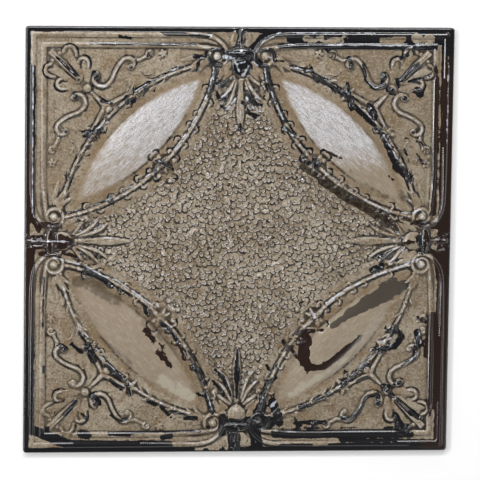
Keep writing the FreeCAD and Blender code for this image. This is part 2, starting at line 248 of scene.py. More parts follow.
def drawMidEdge():
    m = midEdge
    raiseRidge([(0, 5.4), (0, 9.5)], 3.0, 2.4, 0.7, worn=0.8)
    raiseRidge([(0, 11), (0, 28)], [1.8, 3.3, 3.4, 2.4, 2.0], 2.0, 0.8, worn=0.5)
    carve([(0, 14), (0, 25)], 0.7, 0.8, worn=0.4)
    # two small pads beside the stem
    raiseRidge([(9, 12), (11, 20), (8, 26)], [4.0, 5.4, 3.0], 1.2, 0.9)
    # clasp
    raiseRidge([(0, 36), (9, 36.4), (14.5, 37.4)], [7.4, 6.4, 4.0], [3.4, 3.2, 2.6], 0.6,
               worn=0.95)
    raiseBall((0, 36.5), 5.2, 4.5, 0.6, worn=1.0)
    raiseBall((9.6, 37.4), 3.0, 4.0, 0.6, worn=0.8, hollow=0.4)
    carve([(0, 29.5), (10, 30.2), (16, 33)], 0.8, 1.0, worn=0.8)
    carve([(0, 44.2), (9, 44.4), (14, 42.8)], 0.9, 1.2, worn=0.9)
    # bell
    near, t = insideOutline(m["bellHalf"], 15)
    top = m["bellRise"] * smooth(71.5, 60, inset[near]) * smooth(42.5, 47, inset[near])
    flute = 0.12 * np.cos(t * math.pi * m["bellFlutes"])
    form = top * np.sqrt(np.clip(1 - t ** 2, 0, 1)) * (0.86 + flute)
    keepHighest(height, near, np.where(t < 1, form, 0))
    keepHighest(bare, near, np.where(t < 1, 0.45 - 2.0 * flute, 0))
    # wing leaves beside the bell
    raiseLeaf([(14, 50), (22, 58), (29, 66), (33, 77)], 8.0, 1.9, dirty=0.9, vein=0.15)
    raiseLeaf([(13, 62), (20, 68), (25, 76)], 5.0, 1.7, dirty=0.6, vein=0.1)
    # palmette
    fan = [
        ([(9, 69), (17, 75), (25, 80.5), (34, 85)], 3.0, 2.4),
        ([(8, 72), (13, 84), (20.5, 95), (31, 104.6)], 2.8, 2.6),
        ([(6.5, 76), (10.5, 92), (16, 107), (26.5, 119.4)], 2.6, 2.4),
    ]
    for points, wide, tall in fan:
        raiseLeaf(points, wide, tall, worn=0.35, dirty=0.5, vein=0.0)
    for points in ([(10, 73), (16, 83), (24, 92), (31, 98)], [(8.5, 78), (13, 92), (19, 103), (27, 112)],
                   [(11, 70), (19, 79), (27, 85.5), (34, 90)]):
        carve(points, 0.9, 0.9, worn=0.75)
    raiseBall((32, 86.5), 4.4, 2.4, worn=0.1)
    # spear
    near, t = insideOutline(m["spearHalf"], 13)
    form = m["spearRise"] * np.clip(1 - t ** 2.2, 0, 1) ** 0.7 * smooth(70, 80, inset[near])
    form = form * (0.84 + 0.16 * np.cos(t * math.pi * 2.4))
    keepHighest(height, near, np.where(t < 1, form, 0))
    keepHighest(ochre, near, np.exp(-((t - 1.12) / 0.14) ** 2) * 0.6)
    carve([(0, 84), (0, 98), (0, 118)], [0.9, 1.5, 2.4, 1.2], [0.6, 0.9, 1.4, 0.8], worn=0.75)
    carve([(0, 122), (0, 148)], 0.7, 0.6, worn=0.35)
    carve([(4.0, 88), (6.2, 106), (6.8, 120), (4.2, 138)], 0.9, 0.6, worn=0.5)


# stems on arcs: the inner one about each corner of the tile, the outer one about its middle
garland = {
    "innerRadius": 276.5, "innerHalf": 2.3, "innerRise": 3.6,
    "outerRadius": 257.5, "outerHalf": 1.9, "outerRise": 2.8,
    "lensOuter": 238.5, "lensInner": 259.0, "lensRise": 4.3,
}


def fromCorner(angle, radius):
    # a point about the tile's corner, the angle measured from the upper edge
    turn = math.radians(angle)
    return (half - radius * math.cos(turn), radius * math.sin(turn))


def fromCentre(angle, radius):
    # a point about the tile's middle, the angle measured from the mid-line
    turn = math.radians(angle)
    return (radius * math.sin(turn), half - radius * math.cos(turn))


def drawLens():
    g = garland
    fromMiddle = np.hypot(across, half - inset)
    fromTileCorner = np.hypot(half - across, inset)
    a = g["lensOuter"] - fromMiddle
    b = g["lensInner"] - fromTileCorner
    inside = np.minimum(a, b)
    widest = (g["lensOuter"] + g["lensInner"] - half * math.sqrt(2)) / 2
    swell = np.clip(a, 0, None) * np.clip(b, 0, None) / widest ** 2
    form = g["lensRise"] * smooth(-0.08, 0.95, swell) + 0.3 * smooth(0, 5, inside)
    np.maximum(height, np.where(inside > 0, form, 0), out=height)
    np.maximum(panel, smooth(-4, 6, inside), out=panel)
    edge = np.exp(-((inside + 3.5) / 4.6) ** 2) * (across > 40)
    np.maximum(ochre, edge * 0.75, out=ochre)


def besideStem(fromPlace, radius, angle, along, out):
    # a point beside a garland's stem: so far along it, and so far off it, both in millimetres
    return fromPlace(angle + math.degrees(along / radius), radius + out)


def drawStemLeaves(fromPlace, radius, angles, seed, reach, hooked, missing):
    # on both sides of a stem: a broad faint leaf, a slender one that leans along it, or a hook
    random = np.random.default_rng(seed)
    for angle in angles:
        for out in (-1, 1):
            if random.random() < missing:
                continue
            angle = angle + random.uniform(-1.0, 1.0)

            def at(along, off):
                return besideStem(fromPlace, radius, angle, along, off * out)

            size = reach * random.uniform(0.8, 1.1)
            slide = random.uniform(-3.0, 3.0)
            raiseLeaf([at(slide, 2), at(slide + 7, size * 0.6), at(slide + 15, size)], 5.0, 0.5, dirty=0.9,
                      vein=0.3)
            if random.random() < hooked:
                hook = [at(0, 1.5), at(-2, size * 0.4), at(1, size * 0.62), at(5.5, size * 0.5)]
                raiseRidge(hook, [1.6, 1.3, 1.1, 0.8], [2.4, 2.0, 1.6, 1.2], 0.7, worn=0.35,
                           dirty=0.2)
                behind = [at(-2, 2.5), at(-4.6, size * 0.5), at(0, size * 0.82), at(7, size * 0.66)]
                carve(behind, [0.7, 1.5, 1.6, 0.7], 0.8, worn=1.3)
                continue
            lean = random.uniform(10.0, 14.0)
            slender = [at(slide, 1.0), at(slide + lean * 0.5, size * 0.33), at(slide + lean, size * 0.62)]
            raiseLeaf(slender, random.uniform(1.5, 2.2), 1.8, worn=0.6 * random.random(), dirty=0.5, vein=0.0)
            if random.random() < 0.4:
                under = [at(slide + 3, size * 0.6), at(slide + 8, size * 0.9), at(slide + 12, size * 0.75)]
                carve(under, [0.6, 1.5, 0.7], 0.7, worn=1.3)


def drawGarlands():
    g = garland
    stems = [(fromCorner, g["innerRadius"], 12.2, 45.6, g["innerHalf"], g["innerRise"], 17.0),
             (fromCentre, g["outerRadius"], 15.0, 45.6, g["outerHalf"], g["outerRise"], 21.0)]
    drawStemLeaves(fromCorner, g["innerRadius"], np.arange(15.7, 41.0, 3.5), 3, 15.0, 0.85, 0.2)
    drawStemLeaves(fromCentre, g["outerRadius"], np.arange(17.5, 43.0, 3.6), 8, 14.0, 0.35, 0.4)
    for fromPlace, radius, start, end, wide, tall, pitch in stems:
        path = np.array([fromPlace(a, radius) for a in np.linspace(start, end, 80)])
        raiseRidge(path, wide, tall, 0.6, worn=0.35, dirty=0.5, joints=pitch)
        for off in (-wide - 1.5, wide + 1.5):
            side = np.array([fromPlace(a, radius + off) for a in np.linspace(start + 1, end, 80)])
            carve(side, [1.1, 1.9, 0.7, 2.0, 0.9, 1.7, 0.7, 2.1, 1.0, 1.8], 0.8, worn=0.98)
    # the outer stem is split: a dark groove runs along it
    groove = np.array([fromCentre(a, g["outerRadius"] + 3.1) for a in np.linspace(16.0, 45.0, 60)])
    carve(groove, [0.7, 0.9, 1.1, 1.5, 1.6, 1.2], [0.7, 0.7, 0.9, 1.2, 1.2, 0.9], worn=0.72)
    # thorns that lean back from the outer stem
    thorns = [(20.5, 1, 13), (24.0, -1, 11), (28.0, 1, 15), (31.5, -1, 12), (38.5, -1, 11), (42.0, 1, 9)]
    for angle, out, size in thorns:
        base = besideStem(fromCentre, g["outerRadius"], angle, 0, 0)
        tip = besideStem(fromCentre, g["outerRadius"], angle, size * 0.85, out * size * 0.55)
        raiseRidge(np.array([base, tip]), [1.7, 1.2, 0.4], [2.4, 2.0, 1.2], 0.7, worn=0.75, dirty=0.2)
    # star of leaves on the outer garland
    knot = fromCentre(36.3, g["outerRadius"] + 3.0)
    for turn in range(0, 360, 60):
        reach = 9.5 if turn % 120 else 13.0
        heading = math.radians(turn + 20)
        tip = (knot[0] + reach * math.cos(heading), knot[1] + reach * math.sin(heading))
        raiseLeaf([knot, tip], 3.0, 2.9, worn=0.8, dirty=0.5)
    raiseBall(knot, 2.8, 3.3, worn=0.9)
    # berries and lobed leaves where the inner garlands meet on the diagonal
    raiseBall(edges(192.5, 193.5), 12.5, 2.6, 0.7, worn=0.25, dirty=0.9, flutes=5)
    raiseBall(edges(191.7, 193.9), 5.0, 4.3, 0.6, worn=0.35)
    carve(arcPath(edges(191.7, 193.9), 6.0, 140, 340, steps=16), [0.7, 1.4, 1.5, 0.7], 1.2, worn=0.9,
          dirty=0.4)
    for x, y, size, tall in ((212.3, 190.5, 3.8, 2.0), (219.0, 206.0, 3.4, 1.5)):
        raiseBall(edges(x, y), size, tall, 0.6, worn=0.15, dirty=0.9)
        carve(arcPath(edges(x, y), size + 0.8, 150, 330, steps=16), [0.7, 1.3, 1.4, 0.7], 0.9, worn=0.85,
              dirty=0.4)
    curls = [(180.0, 200.0, 5.6, 100), (206.0, 177.0, 5.4, 200), (210.0, 214.0, 6.0, 20),
             (185.0, 179.0, 4.6, 150), (198.0, 208.0, 4.6, 60)]
    for x, y, size, start in curls:
        carve(arcPath(edges(x, y), size, start, start + 190, steps=14), [0.8, 1.9, 2.1, 0.9], 0.9, worn=1.3,
              dirty=0.4)
    for tip in ((206.5, 181.5), (182.0, 186.0), (202.5, 214.5), (208.0, 201.0)):
        raiseLeaf([edges(193, 194), edges(*tip)], 3.0, 3.0, worn=0.6, dirty=0.7, vein=0.0)


# the fan and the scrolls in each corner, by distances from its two edges
corner = {
    "fanBall": 90.5, "ballRadius": 5.4, "ballRise": 3.8,
    "ribFrom": 74.0, "ribTo": 38.0,
    "scroll": [(101.5, 65.5), (97.6, 69.5), (96.2, 75), (98.5, 80.5), (103.5, 84), (110, 85), (116, 82.3),
               (120.5, 77.5), (123.4, 71.5), (126.8, 63.5), (130.6, 56.5), (134.8, 50.4), (139.2, 46.0),
               (144.5, 44.4), (149.8, 46.2), (153.0, 51), (152.4, 56.4), (148.6, 59.4)],
    "scrollHalf": [1.6, 2.2, 2.4, 2.4, 2.2, 2.0, 1.9, 1.9, 2.0, 2.2, 2.0, 1.4],
}


def edges(x, y):
    # a place given by its distances from the two edges at a corner
    return (half - x, y)


def alongEdges(*places):
    return [edges(x, y) for x, y in places]


def drawHook(places, outside):
    # a petal's curled end, with the dark hollow behind it; the black in that hollow is painted shadow
    raiseRidge(alongEdges(*places), [1.3, 1.8, 2.0, 1.9, 1.2], [1.8, 2.4, 2.6, 2.4, 1.6], 0.6, worn=0.12,
               dirty=0.3)
    carve(alongEdges(*outside), [0.7, 1.8, 2.0, 1.7, 0.7], 0.9, worn=1.2, dirty=0.5)


def drawCorner():
    c = corner
    # scroll: a band with a drop at each end
    raiseRidge(alongEdges(*c["scroll"]), c["scrollHalf"], [1.9, 2.4, 2.4, 2.2, 2.0], 0.6, worn=0.12,
               dirty=0.3)
    raiseBall(edges(100.4, 70.6), 4.6, 2.9, 0.7, worn=0.9)
    raiseBall(edges(148.6, 57.4), 3.8, 2.6, 0.7, worn=0.85)
    carve(alongEdges((98.5, 63.0), (93.6, 69.5), (92.8, 77.5), (96.5, 84.6), (104, 88.2), (113, 88.4),
                     (120.5, 83.5)), [0.8, 1.5, 1.3, 1.0, 0.8], 0.8, worn=0.85, dirty=0.4)
    carve(alongEdges((125.8, 76.5), (128.6, 67.5), (132.4, 59.2), (137.5, 52.5)), [0.6, 1.2, 1.3, 0.8], 0.8,
          worn=0.8)
    carve(alongEdges((121, 66), (124.6, 58.5), (129, 51.5), (134.6, 45)), [0.6, 1.1, 1.3, 0.8], 0.7, worn=0.6)
    carve(alongEdges((136, 43.4), (141, 41.4), (148, 41.2), (154.0, 44.6), (156.6, 50.5), (155.6, 57)),
          [0.8, 1.5, 1.7, 1.4, 0.7], 0.8, worn=0.9)
    raiseLeaf(alongEdges((120, 84), (131, 82), (143, 76)), 4.6, 0.6, dirty=0.8)
    raiseLeaf(alongEdges((112, 92), (124, 92), (138, 96)), 4.6, 0.6, dirty=0.8)
    # small volute and flower towards the middle of the edge
    raiseRidge([(156, 47), (150, 46.5), (144, 47), (139, 44), (134, 42)], [1.4, 2.0, 1.6], 1.8,
               0.7, worn=0.3)
    raiseRidge(arcPath((129.0, 38.6), 5.2, 60, -230, 2.6), [1.7, 1.4, 1.1], 2.0, 0.7, worn=0.55, dirty=0.4)
    raiseBall((129.0, 38.6), 2.0, 2.2, worn=0.8)
    raiseBall((111.0, 38.2), 6.4, 2.0, 0.7, worn=0.45, dirty=0.6, flutes=5, hollow=0.5)
    raiseBall((111.0, 38.2), 1.9, 2.4, worn=0.7)
    raiseRidge([(115, 43), (118, 49), (113, 52)], 1.0, 1.2, worn=0.6)
    raiseRidge([(143, 62), (138, 68), (131, 69), (127, 67)], [0.7, 1.1, 0.8], 1.2, worn=0.8)
    # fan of petals with curled ends
    raiseLeaf(alongEdges((80, 77), (72, 60), (65, 46), (62, 31)), 7.6, 0.8, dirty=0.4, vein=0.0)
    raiseLeaf(alongEdges((88, 80), (87, 68), (84, 56), (83, 45)), 6.4, 0.8, dirty=0.4, vein=0.0)
    drawHook(((52.6, 37.0), (56, 31.0), (61.7, 28.6), (67.5, 30.6), (70.8, 36.4), (71.4, 42)),
             ((50, 35), (54.0, 27.6), (61.7, 24.9), (70, 27.2), (74.2, 34.6), (74.6, 43)))
    drawHook(((74.6, 51.4), (76.4, 46.6), (81.4, 45.0), (86.4, 47.0), (88.8, 52.6), (88.0, 59)),
             ((76.6, 42.4), (83.4, 41.0), (89.4, 44.0), (92.4, 51), (91.6, 60)))
    carve(alongEdges((76, 62), (77.6, 56), (76.2, 50)), [0.6, 1.1, 0.7], 0.8, worn=0.7)
    # double rib on the diagonal, ending in a bright tip
    far, near = c["ribTo"], c["ribFrom"]
    raiseRidge(alongEdges((near + 0.6, near - 0.6), (56, 53.4), (44, 41.6), (far, far - 3)),
               [0.9, 1.7, 1.9, 2.4, 2.6], [2.4, 3.0, 2.8, 2.4], 0.6, worn=0.2)
    carve(alongEdges((near - 1, near + 0.6), (58, 58.4), (50, 50.2)), [0.8, 2.1, 2.2, 0.9], 1.0, worn=1.0)
    carve(alongEdges((near + 3.0, near - 2.4), (61, 53.0), (50.5, 42.4)), [0.6, 1.2, 1.2, 0.6], 0.9, worn=0.8)
    raiseBall(edges(48.0, 38.2), 2.6, 1.9, worn=0.3, dirty=0.5)
    raiseBall(edges(54.0, 35.0), 2.2, 1.6, worn=0.3, dirty=0.5)
    carve(alongEdges((44, 31), (49, 30.4), (54.4, 32)), [0.7, 1.3, 0.7], 0.8, worn=0.85)
    # collar, ball and the forked stem down to the outer garland
    raiseBall(edges(76.0, 74.6), 3.2, 2.8, 0.7, worn=0.6, dirty=0.3)
    ball = edges(c["fanBall"] - 2.6, c["fanBall"] - 3.0)
    raiseBall(ball, c["ballRadius"], c["ballRise"], 0.6, worn=0.45, dirty=0.3)
    # the black arc round the ball is painted shade
    carve(arcPath(ball, c["ballRadius"] + 1.0, 0, 200, steps=20), 1.3, 0.9, worn=0.95)
    raiseBall(edges(93.6, 95.4), 2.8, 3.0, 0.6, worn=0.95)
    raiseRidge(alongEdges((98, 98), (104, 104), (112, 112)), [1.6, 2.4, 4.0], 2.2, 0.7, worn=0.15, dirty=0.4)
    carve(alongEdges((105, 99), (111, 104.5), (116, 109)), [0.8, 1.8, 1.0], 0.9, worn=0.9)
    raiseRidge(alongEdges((113, 112), (121, 109), (131, 103.5), (143, 97)), [3.2, 2.4, 1.8, 1.4], 1.9, 0.7,
               worn=0.1, dirty=0.9)
    carve(alongEdges((124, 103), (133, 98.4), (141, 93.6)), [0.7, 1.2, 0.7], 0.7, worn=0.8)
    raiseBall(edges(118.0, 118.0), 5.6, 2.6, 0.7, dirty=0.6)
    raiseBall(edges(118.0, 118.0), 1.6, 3.0, 0.7, worn=0.8)


drawBorder()
drawLens()
drawMidEdge()
drawGarlands()
drawCorner()
# the rolled rim keeps its level next to the mouldings
np.minimum(height, sheet["highest"], out=height)
np.maximum(height, sheet["lowest"], out=height)
height *= smooth(*sheet["flatRim"], inset)
print("pattern drawn on one eighth:", len(height), "points")

# the eighth laid out over the whole tile
lookUp = np.zeros((halfCount + 1, halfCount + 1), int)
lookUp[inEighth] = np.arange(len(height))
place = np.abs(np.arange(pointsAcross) - halfCount)
rows, columns = np.meshgrid(place, place, indexing="ij")
eighthIndex = lookUp[np.maximum(rows, columns), np.minimum(rows, columns)]
steps = np.arange(-halfCount, halfCount + 1) * fineStep
tileX, tileY = np.meshgrid(steps, steps)
absX, absY = np.abs(tileX), np.abs(tileY)
insetMap = half - np.maximum(absX, absY)
relief = height[eighthIndex]
bareMap = bare[eighthIndex]
ochreMap = ochre[eighthIndex]
panelMap = panel[eighthIndex]


def rgba(colour):
    return (*colour, 1.0)


class Nodes:
    def __init__(self, tree):
        self.tree = tree

    def plug(self, value, socket):
        if isinstance(value, bpy.types.NodeSocket):
            self.tree.links.new(value, socket)
        else:
            socket.default_value = value

    def add(self, kind, sockets=None, **settings):
        # a node with its settings, and what goes into its sockets
        node = self.tree.nodes.new(kind)
        for key, value in settings.items():
            setattr(node, key, value)
        for key, value in (sockets or {}).items():
            self.plug(value, node.inputs[key])
        return node

    def math(self, operation, a, b=0.0, clamp=False):
        return self.add("ShaderNodeMath", {0: a, 1: b}, operation=operation, use_clamp=clamp).outputs[0]

    def plus(self, a, b):
        return self.math("ADD", a, b)

    def minus(self, a, b):
        return self.math("SUBTRACT", a, b)

    def times(self, a, b):
        return self.math("MULTIPLY", a, b)

    def larger(self, a, b):
        return self.math("MAXIMUM", a, b)

    def swing(self, noise, amount):
        # a noise about its mean
        return self.times(self.minus(noise, 0.5), amount)

    def mix(self, share, a, b):
        return self.add("ShaderNodeMix", {0: share, 6: a, 7: b}, data_type="RGBA").outputs[2]

    def vector(self, operation, a, b=(0, 0, 0)):
        node = self.add("ShaderNodeVectorMath", {0: a, 1: b}, operation=operation)
        return node.outputs["Value"] if operation in ("DOT_PRODUCT", "LENGTH") else node.outputs[0]

    def axes(self, value):
        return self.add("ShaderNodeSeparateXYZ", {0: value}).outputs

    def mask(self, name):
        return self.add("ShaderNodeAttribute", attribute_name=name).outputs["Fac"]

    def noise(self, place, scale, detail, roughness, distortion):
        sockets = {"Vector": place, "Scale": scale, "Detail": detail, "Roughness": roughness,
                   "Distortion": distortion}
        return self.add("ShaderNodeTexNoise", sockets).outputs["Fac"]

    def between(self, value, low, high):
        sockets = {"Value": value, "From Min": low, "From Max": high}
        return self.add("ShaderNodeMapRange", sockets, interpolation_type="SMOOTHSTEP").outputs["Result"]


pebbles = {
    "pitch": 6.3,
    "rise": 1.0,
    "radius": 0.50,           # as a share of the pitch
    "waver": 5.0,             # how far they are pushed out of place
    "waverSize": 9.0,
    "level": 0.35,            # the share of a pebble that lies under the ground's level
    "clear": (13, 20),        # the field starts this far outside the inner stem
    "lightFrom": (-0.42, 0.90),
}

rosette = {"core": 4.5, "arm": 5.0, "rise": 1.6}


def pebbleNodes(n, place):
    # round pebbles, each with a painted shadow crescent and a painted highlight crescent on its far side from
    # the light
    p = pebbles
    sockets = {"Vector": place, "Scale": 1000 / p["waverSize"], "Detail": 1.0}
    wobble = n.add("ShaderNodeTexNoise", sockets, noise_dimensions="2D")
    shift = n.vector("SUBTRACT", wobble.outputs["Color"], (0.5, 0.5, 0.5))
    shift = n.vector("MULTIPLY", shift, (p["waver"] / 1000,) * 3)
    moved = n.vector("ADD", place, shift)
    sockets = {"Vector": moved, "Scale": 1000 / p["pitch"]}
    cells = n.add("ShaderNodeTexVoronoi", sockets, voronoi_dimensions="2D", feature="F1")
    chance = n.axes(cells.outputs["Color"])["X"]
    reach = n.plus(p["radius"] * 0.72, n.times(chance, p["radius"] * 0.5))
    t = n.math("DIVIDE", cells.outputs["Distance"], reach)
    away = n.vector("MULTIPLY", n.vector("SUBTRACT", moved, cells.outputs["Position"]), (1, 1, 0))
    facing = n.math("DIVIDE", n.vector("DOT_PRODUCT", away, (*p["lightFrom"], 0)),
                    n.larger(n.vector("LENGTH", away), 0.0001))
    stone = n.between(t, 1.12, 0.25)
    # painted shadow: the dark crescent
    dark = n.times(n.times(n.between(t, 0.64, 0.76), n.between(t, 1.5, 1.25)), n.between(facing, 0.62, -0.1))
    # painted highlight: the bright crescent inside it
    highlightCrescent = n.times(n.times(n.between(t, 0.28, 0.42), n.between(t, 0.74, 0.66)), n.between(facing, 0.3, -0.4))
    return stone, dark, highlightCrescent


def pebbleField():
    # the same pebbles worked out at every point of the tile
    grid = bpy.data.meshes.new("fieldPoints")
    grid.vertices.add(tileX.size)
    flat = np.stack([tileX.ravel(), tileY.ravel(), np.zeros(tileX.size)], 1) / 1000
    grid.vertices.foreach_set("co", flat.astype(np.float32).ravel())
    holder = bpy.data.objects.new("fieldPoints", grid)
    bpy.context.collection.objects.link(holder)
    tree = bpy.data.node_groups.new("pebbleHeights", "GeometryNodeTree")
    for way in ("INPUT", "OUTPUT"):
        tree.interface.new_socket("Geometry", in_out=way, socket_type="NodeSocketGeometry")
    n = Nodes(tree)
    start, end = n.add("NodeGroupInput"), n.add("NodeGroupOutput")
    stone = pebbleNodes(n, n.add("GeometryNodeInputPosition").outputs[0])[0]
    sockets = {"Name": "stone", "Geometry": start.outputs[0], "Value": stone}
    store = n.add("GeometryNodeStoreNamedAttribute", sockets, data_type="FLOAT", domain="POINT")
    n.plug(store.outputs[0], end.inputs[0])
    holder.modifiers.new("heights", "NODES").node_group = tree
    found = holder.evaluated_get(bpy.context.evaluated_depsgraph_get()).data.attributes["stone"]
    values = np.zeros(tileX.size, np.float32)
    found.data.foreach_get("value", values)
    bpy.data.objects.remove(holder)
    bpy.data.node_groups.remove(tree)
    return values.reshape(tileX.shape).astype(float)


cornerGap = np.hypot(half - absX, half - absY)
inField = smooth(*(garland["innerRadius"] + gap for gap in pebbles["clear"]), cornerGap)
inField *= smooth(0.9, 0.2, relief)
plainRelief = relief
relief = relief + inField * pebbles["rise"] * (pebbleField() - pebbles["level"])
# four-pointed rosette in the middle
arms = np.abs(np.cos(2 * np.arctan2(tileY, tileX))) ** 3
star = np.hypot(tileX, tileY) / (rosette["core"] + rosette["arm"] * arms)
relief = np.where(star < 1, np.maximum(relief, rosette["rise"] * (1 - star ** 2)), relief)


def wander(scale, seed):
    # slow seeded unevenness over the tile, from -1 to 1
    random = np.random.default_rng(seed)
    total = np.zeros(tileX.shape)
    for octave in range(3):
        size = scale / 2 ** octave
        count = int(sheet["side"] / size) + 3
        grid = random.uniform(-1, 1, (count + 1, count + 1))
        u, v = (tileX + half) / size, (tileY + half) / size
        i, j = np.floor(u).astype(int), np.floor(v).astype(int)
        s, t = u - i, v - j
        s, t = s * s * (3 - 2 * s), t * t * (3 - 2 * t)
        total += (grid[i, j] * (1 - s) * (1 - t) + grid[i + 1, j] * s * (1 - t)
                  + grid[i, j + 1] * (1 - s) * t + grid[i + 1, j + 1] * s * t) / 2 ** octave
    return total / 1.75       # the octaves' shares added up


edgeFade = smooth(0, sheet["dentFade"], fieldHalf - np.maximum(absX, absY))
dents = wander(sheet["dentSize"], 5) * sheet["dentDepth"] * edgeFade
relief = np.minimum(relief + dents - sheet["dentDepth"], sheet["highest"])


def blur(values, reach):
    # the mean of all within reach, by running sums
    out = values
    for axis in (0, 1):
        padded = np.concatenate([np.repeat(np.take(out, [0], axis), reach, axis), out,
                                 np.repeat(np.take(out, [-1], axis), reach + 1, axis)], axis)
        sums = np.cumsum(padded, axis)
        count = out.shape[axis]
        out = (np.take(sums, np.arange(2 * reach + 1, 2 * reach + 1 + count) - 1, axis)
               - np.take(np.concatenate([np.zeros_like(np.take(sums, [0], axis)), sums], axis),
                         np.arange(count), axis)) / (2 * reach + 1)
    return out


# above nought on crests and below it in hollows, which are deeper on their side away from the light: this
# paints shade into the colour of the hollows
smoothRelief = blur(plainRelief, 1)
atBorder = smooth(33, 29, insetMap) * smooth(50, 80, np.minimum(absX, absY))
slopeY, slopeX = np.gradient(smoothRelief, fineStep)
lightX, lightY = pebbles["lightFrom"]
litSide = np.clip(-(lightX * slopeX + lightY * slopeY) * 1.6, -1, 1)
crestAndShadeMap = (0.9 * (smoothRelief - blur(blur(plainRelief, 2), 2))
            + 0.8 * (smoothRelief - blur(blur(plainRelief, 5), 5)))
crestAndShadeMap = np.where(crestAndShadeMap < 0, crestAndShadeMap * (1 - 0.75 * litSide), crestAndShadeMap)
crestAndShadeMap = (1 - 0.6 * atBorder) * np.clip(crestAndShadeMap, -1, 1)


def lowest(values, reach):
    # the lowest value within reach
    out = values
    for axis in (0, 1):
        stack = [np.roll(out, k, axis) for k in range(-reach, reach + 1)]
        out = np.minimum.reduce(stack)
    return out


# the back stays under the face everywhere, also where the face is steep
backRelief = lowest(relief, 3) - sheet["gauge"]
print("pattern laid out over the tile")

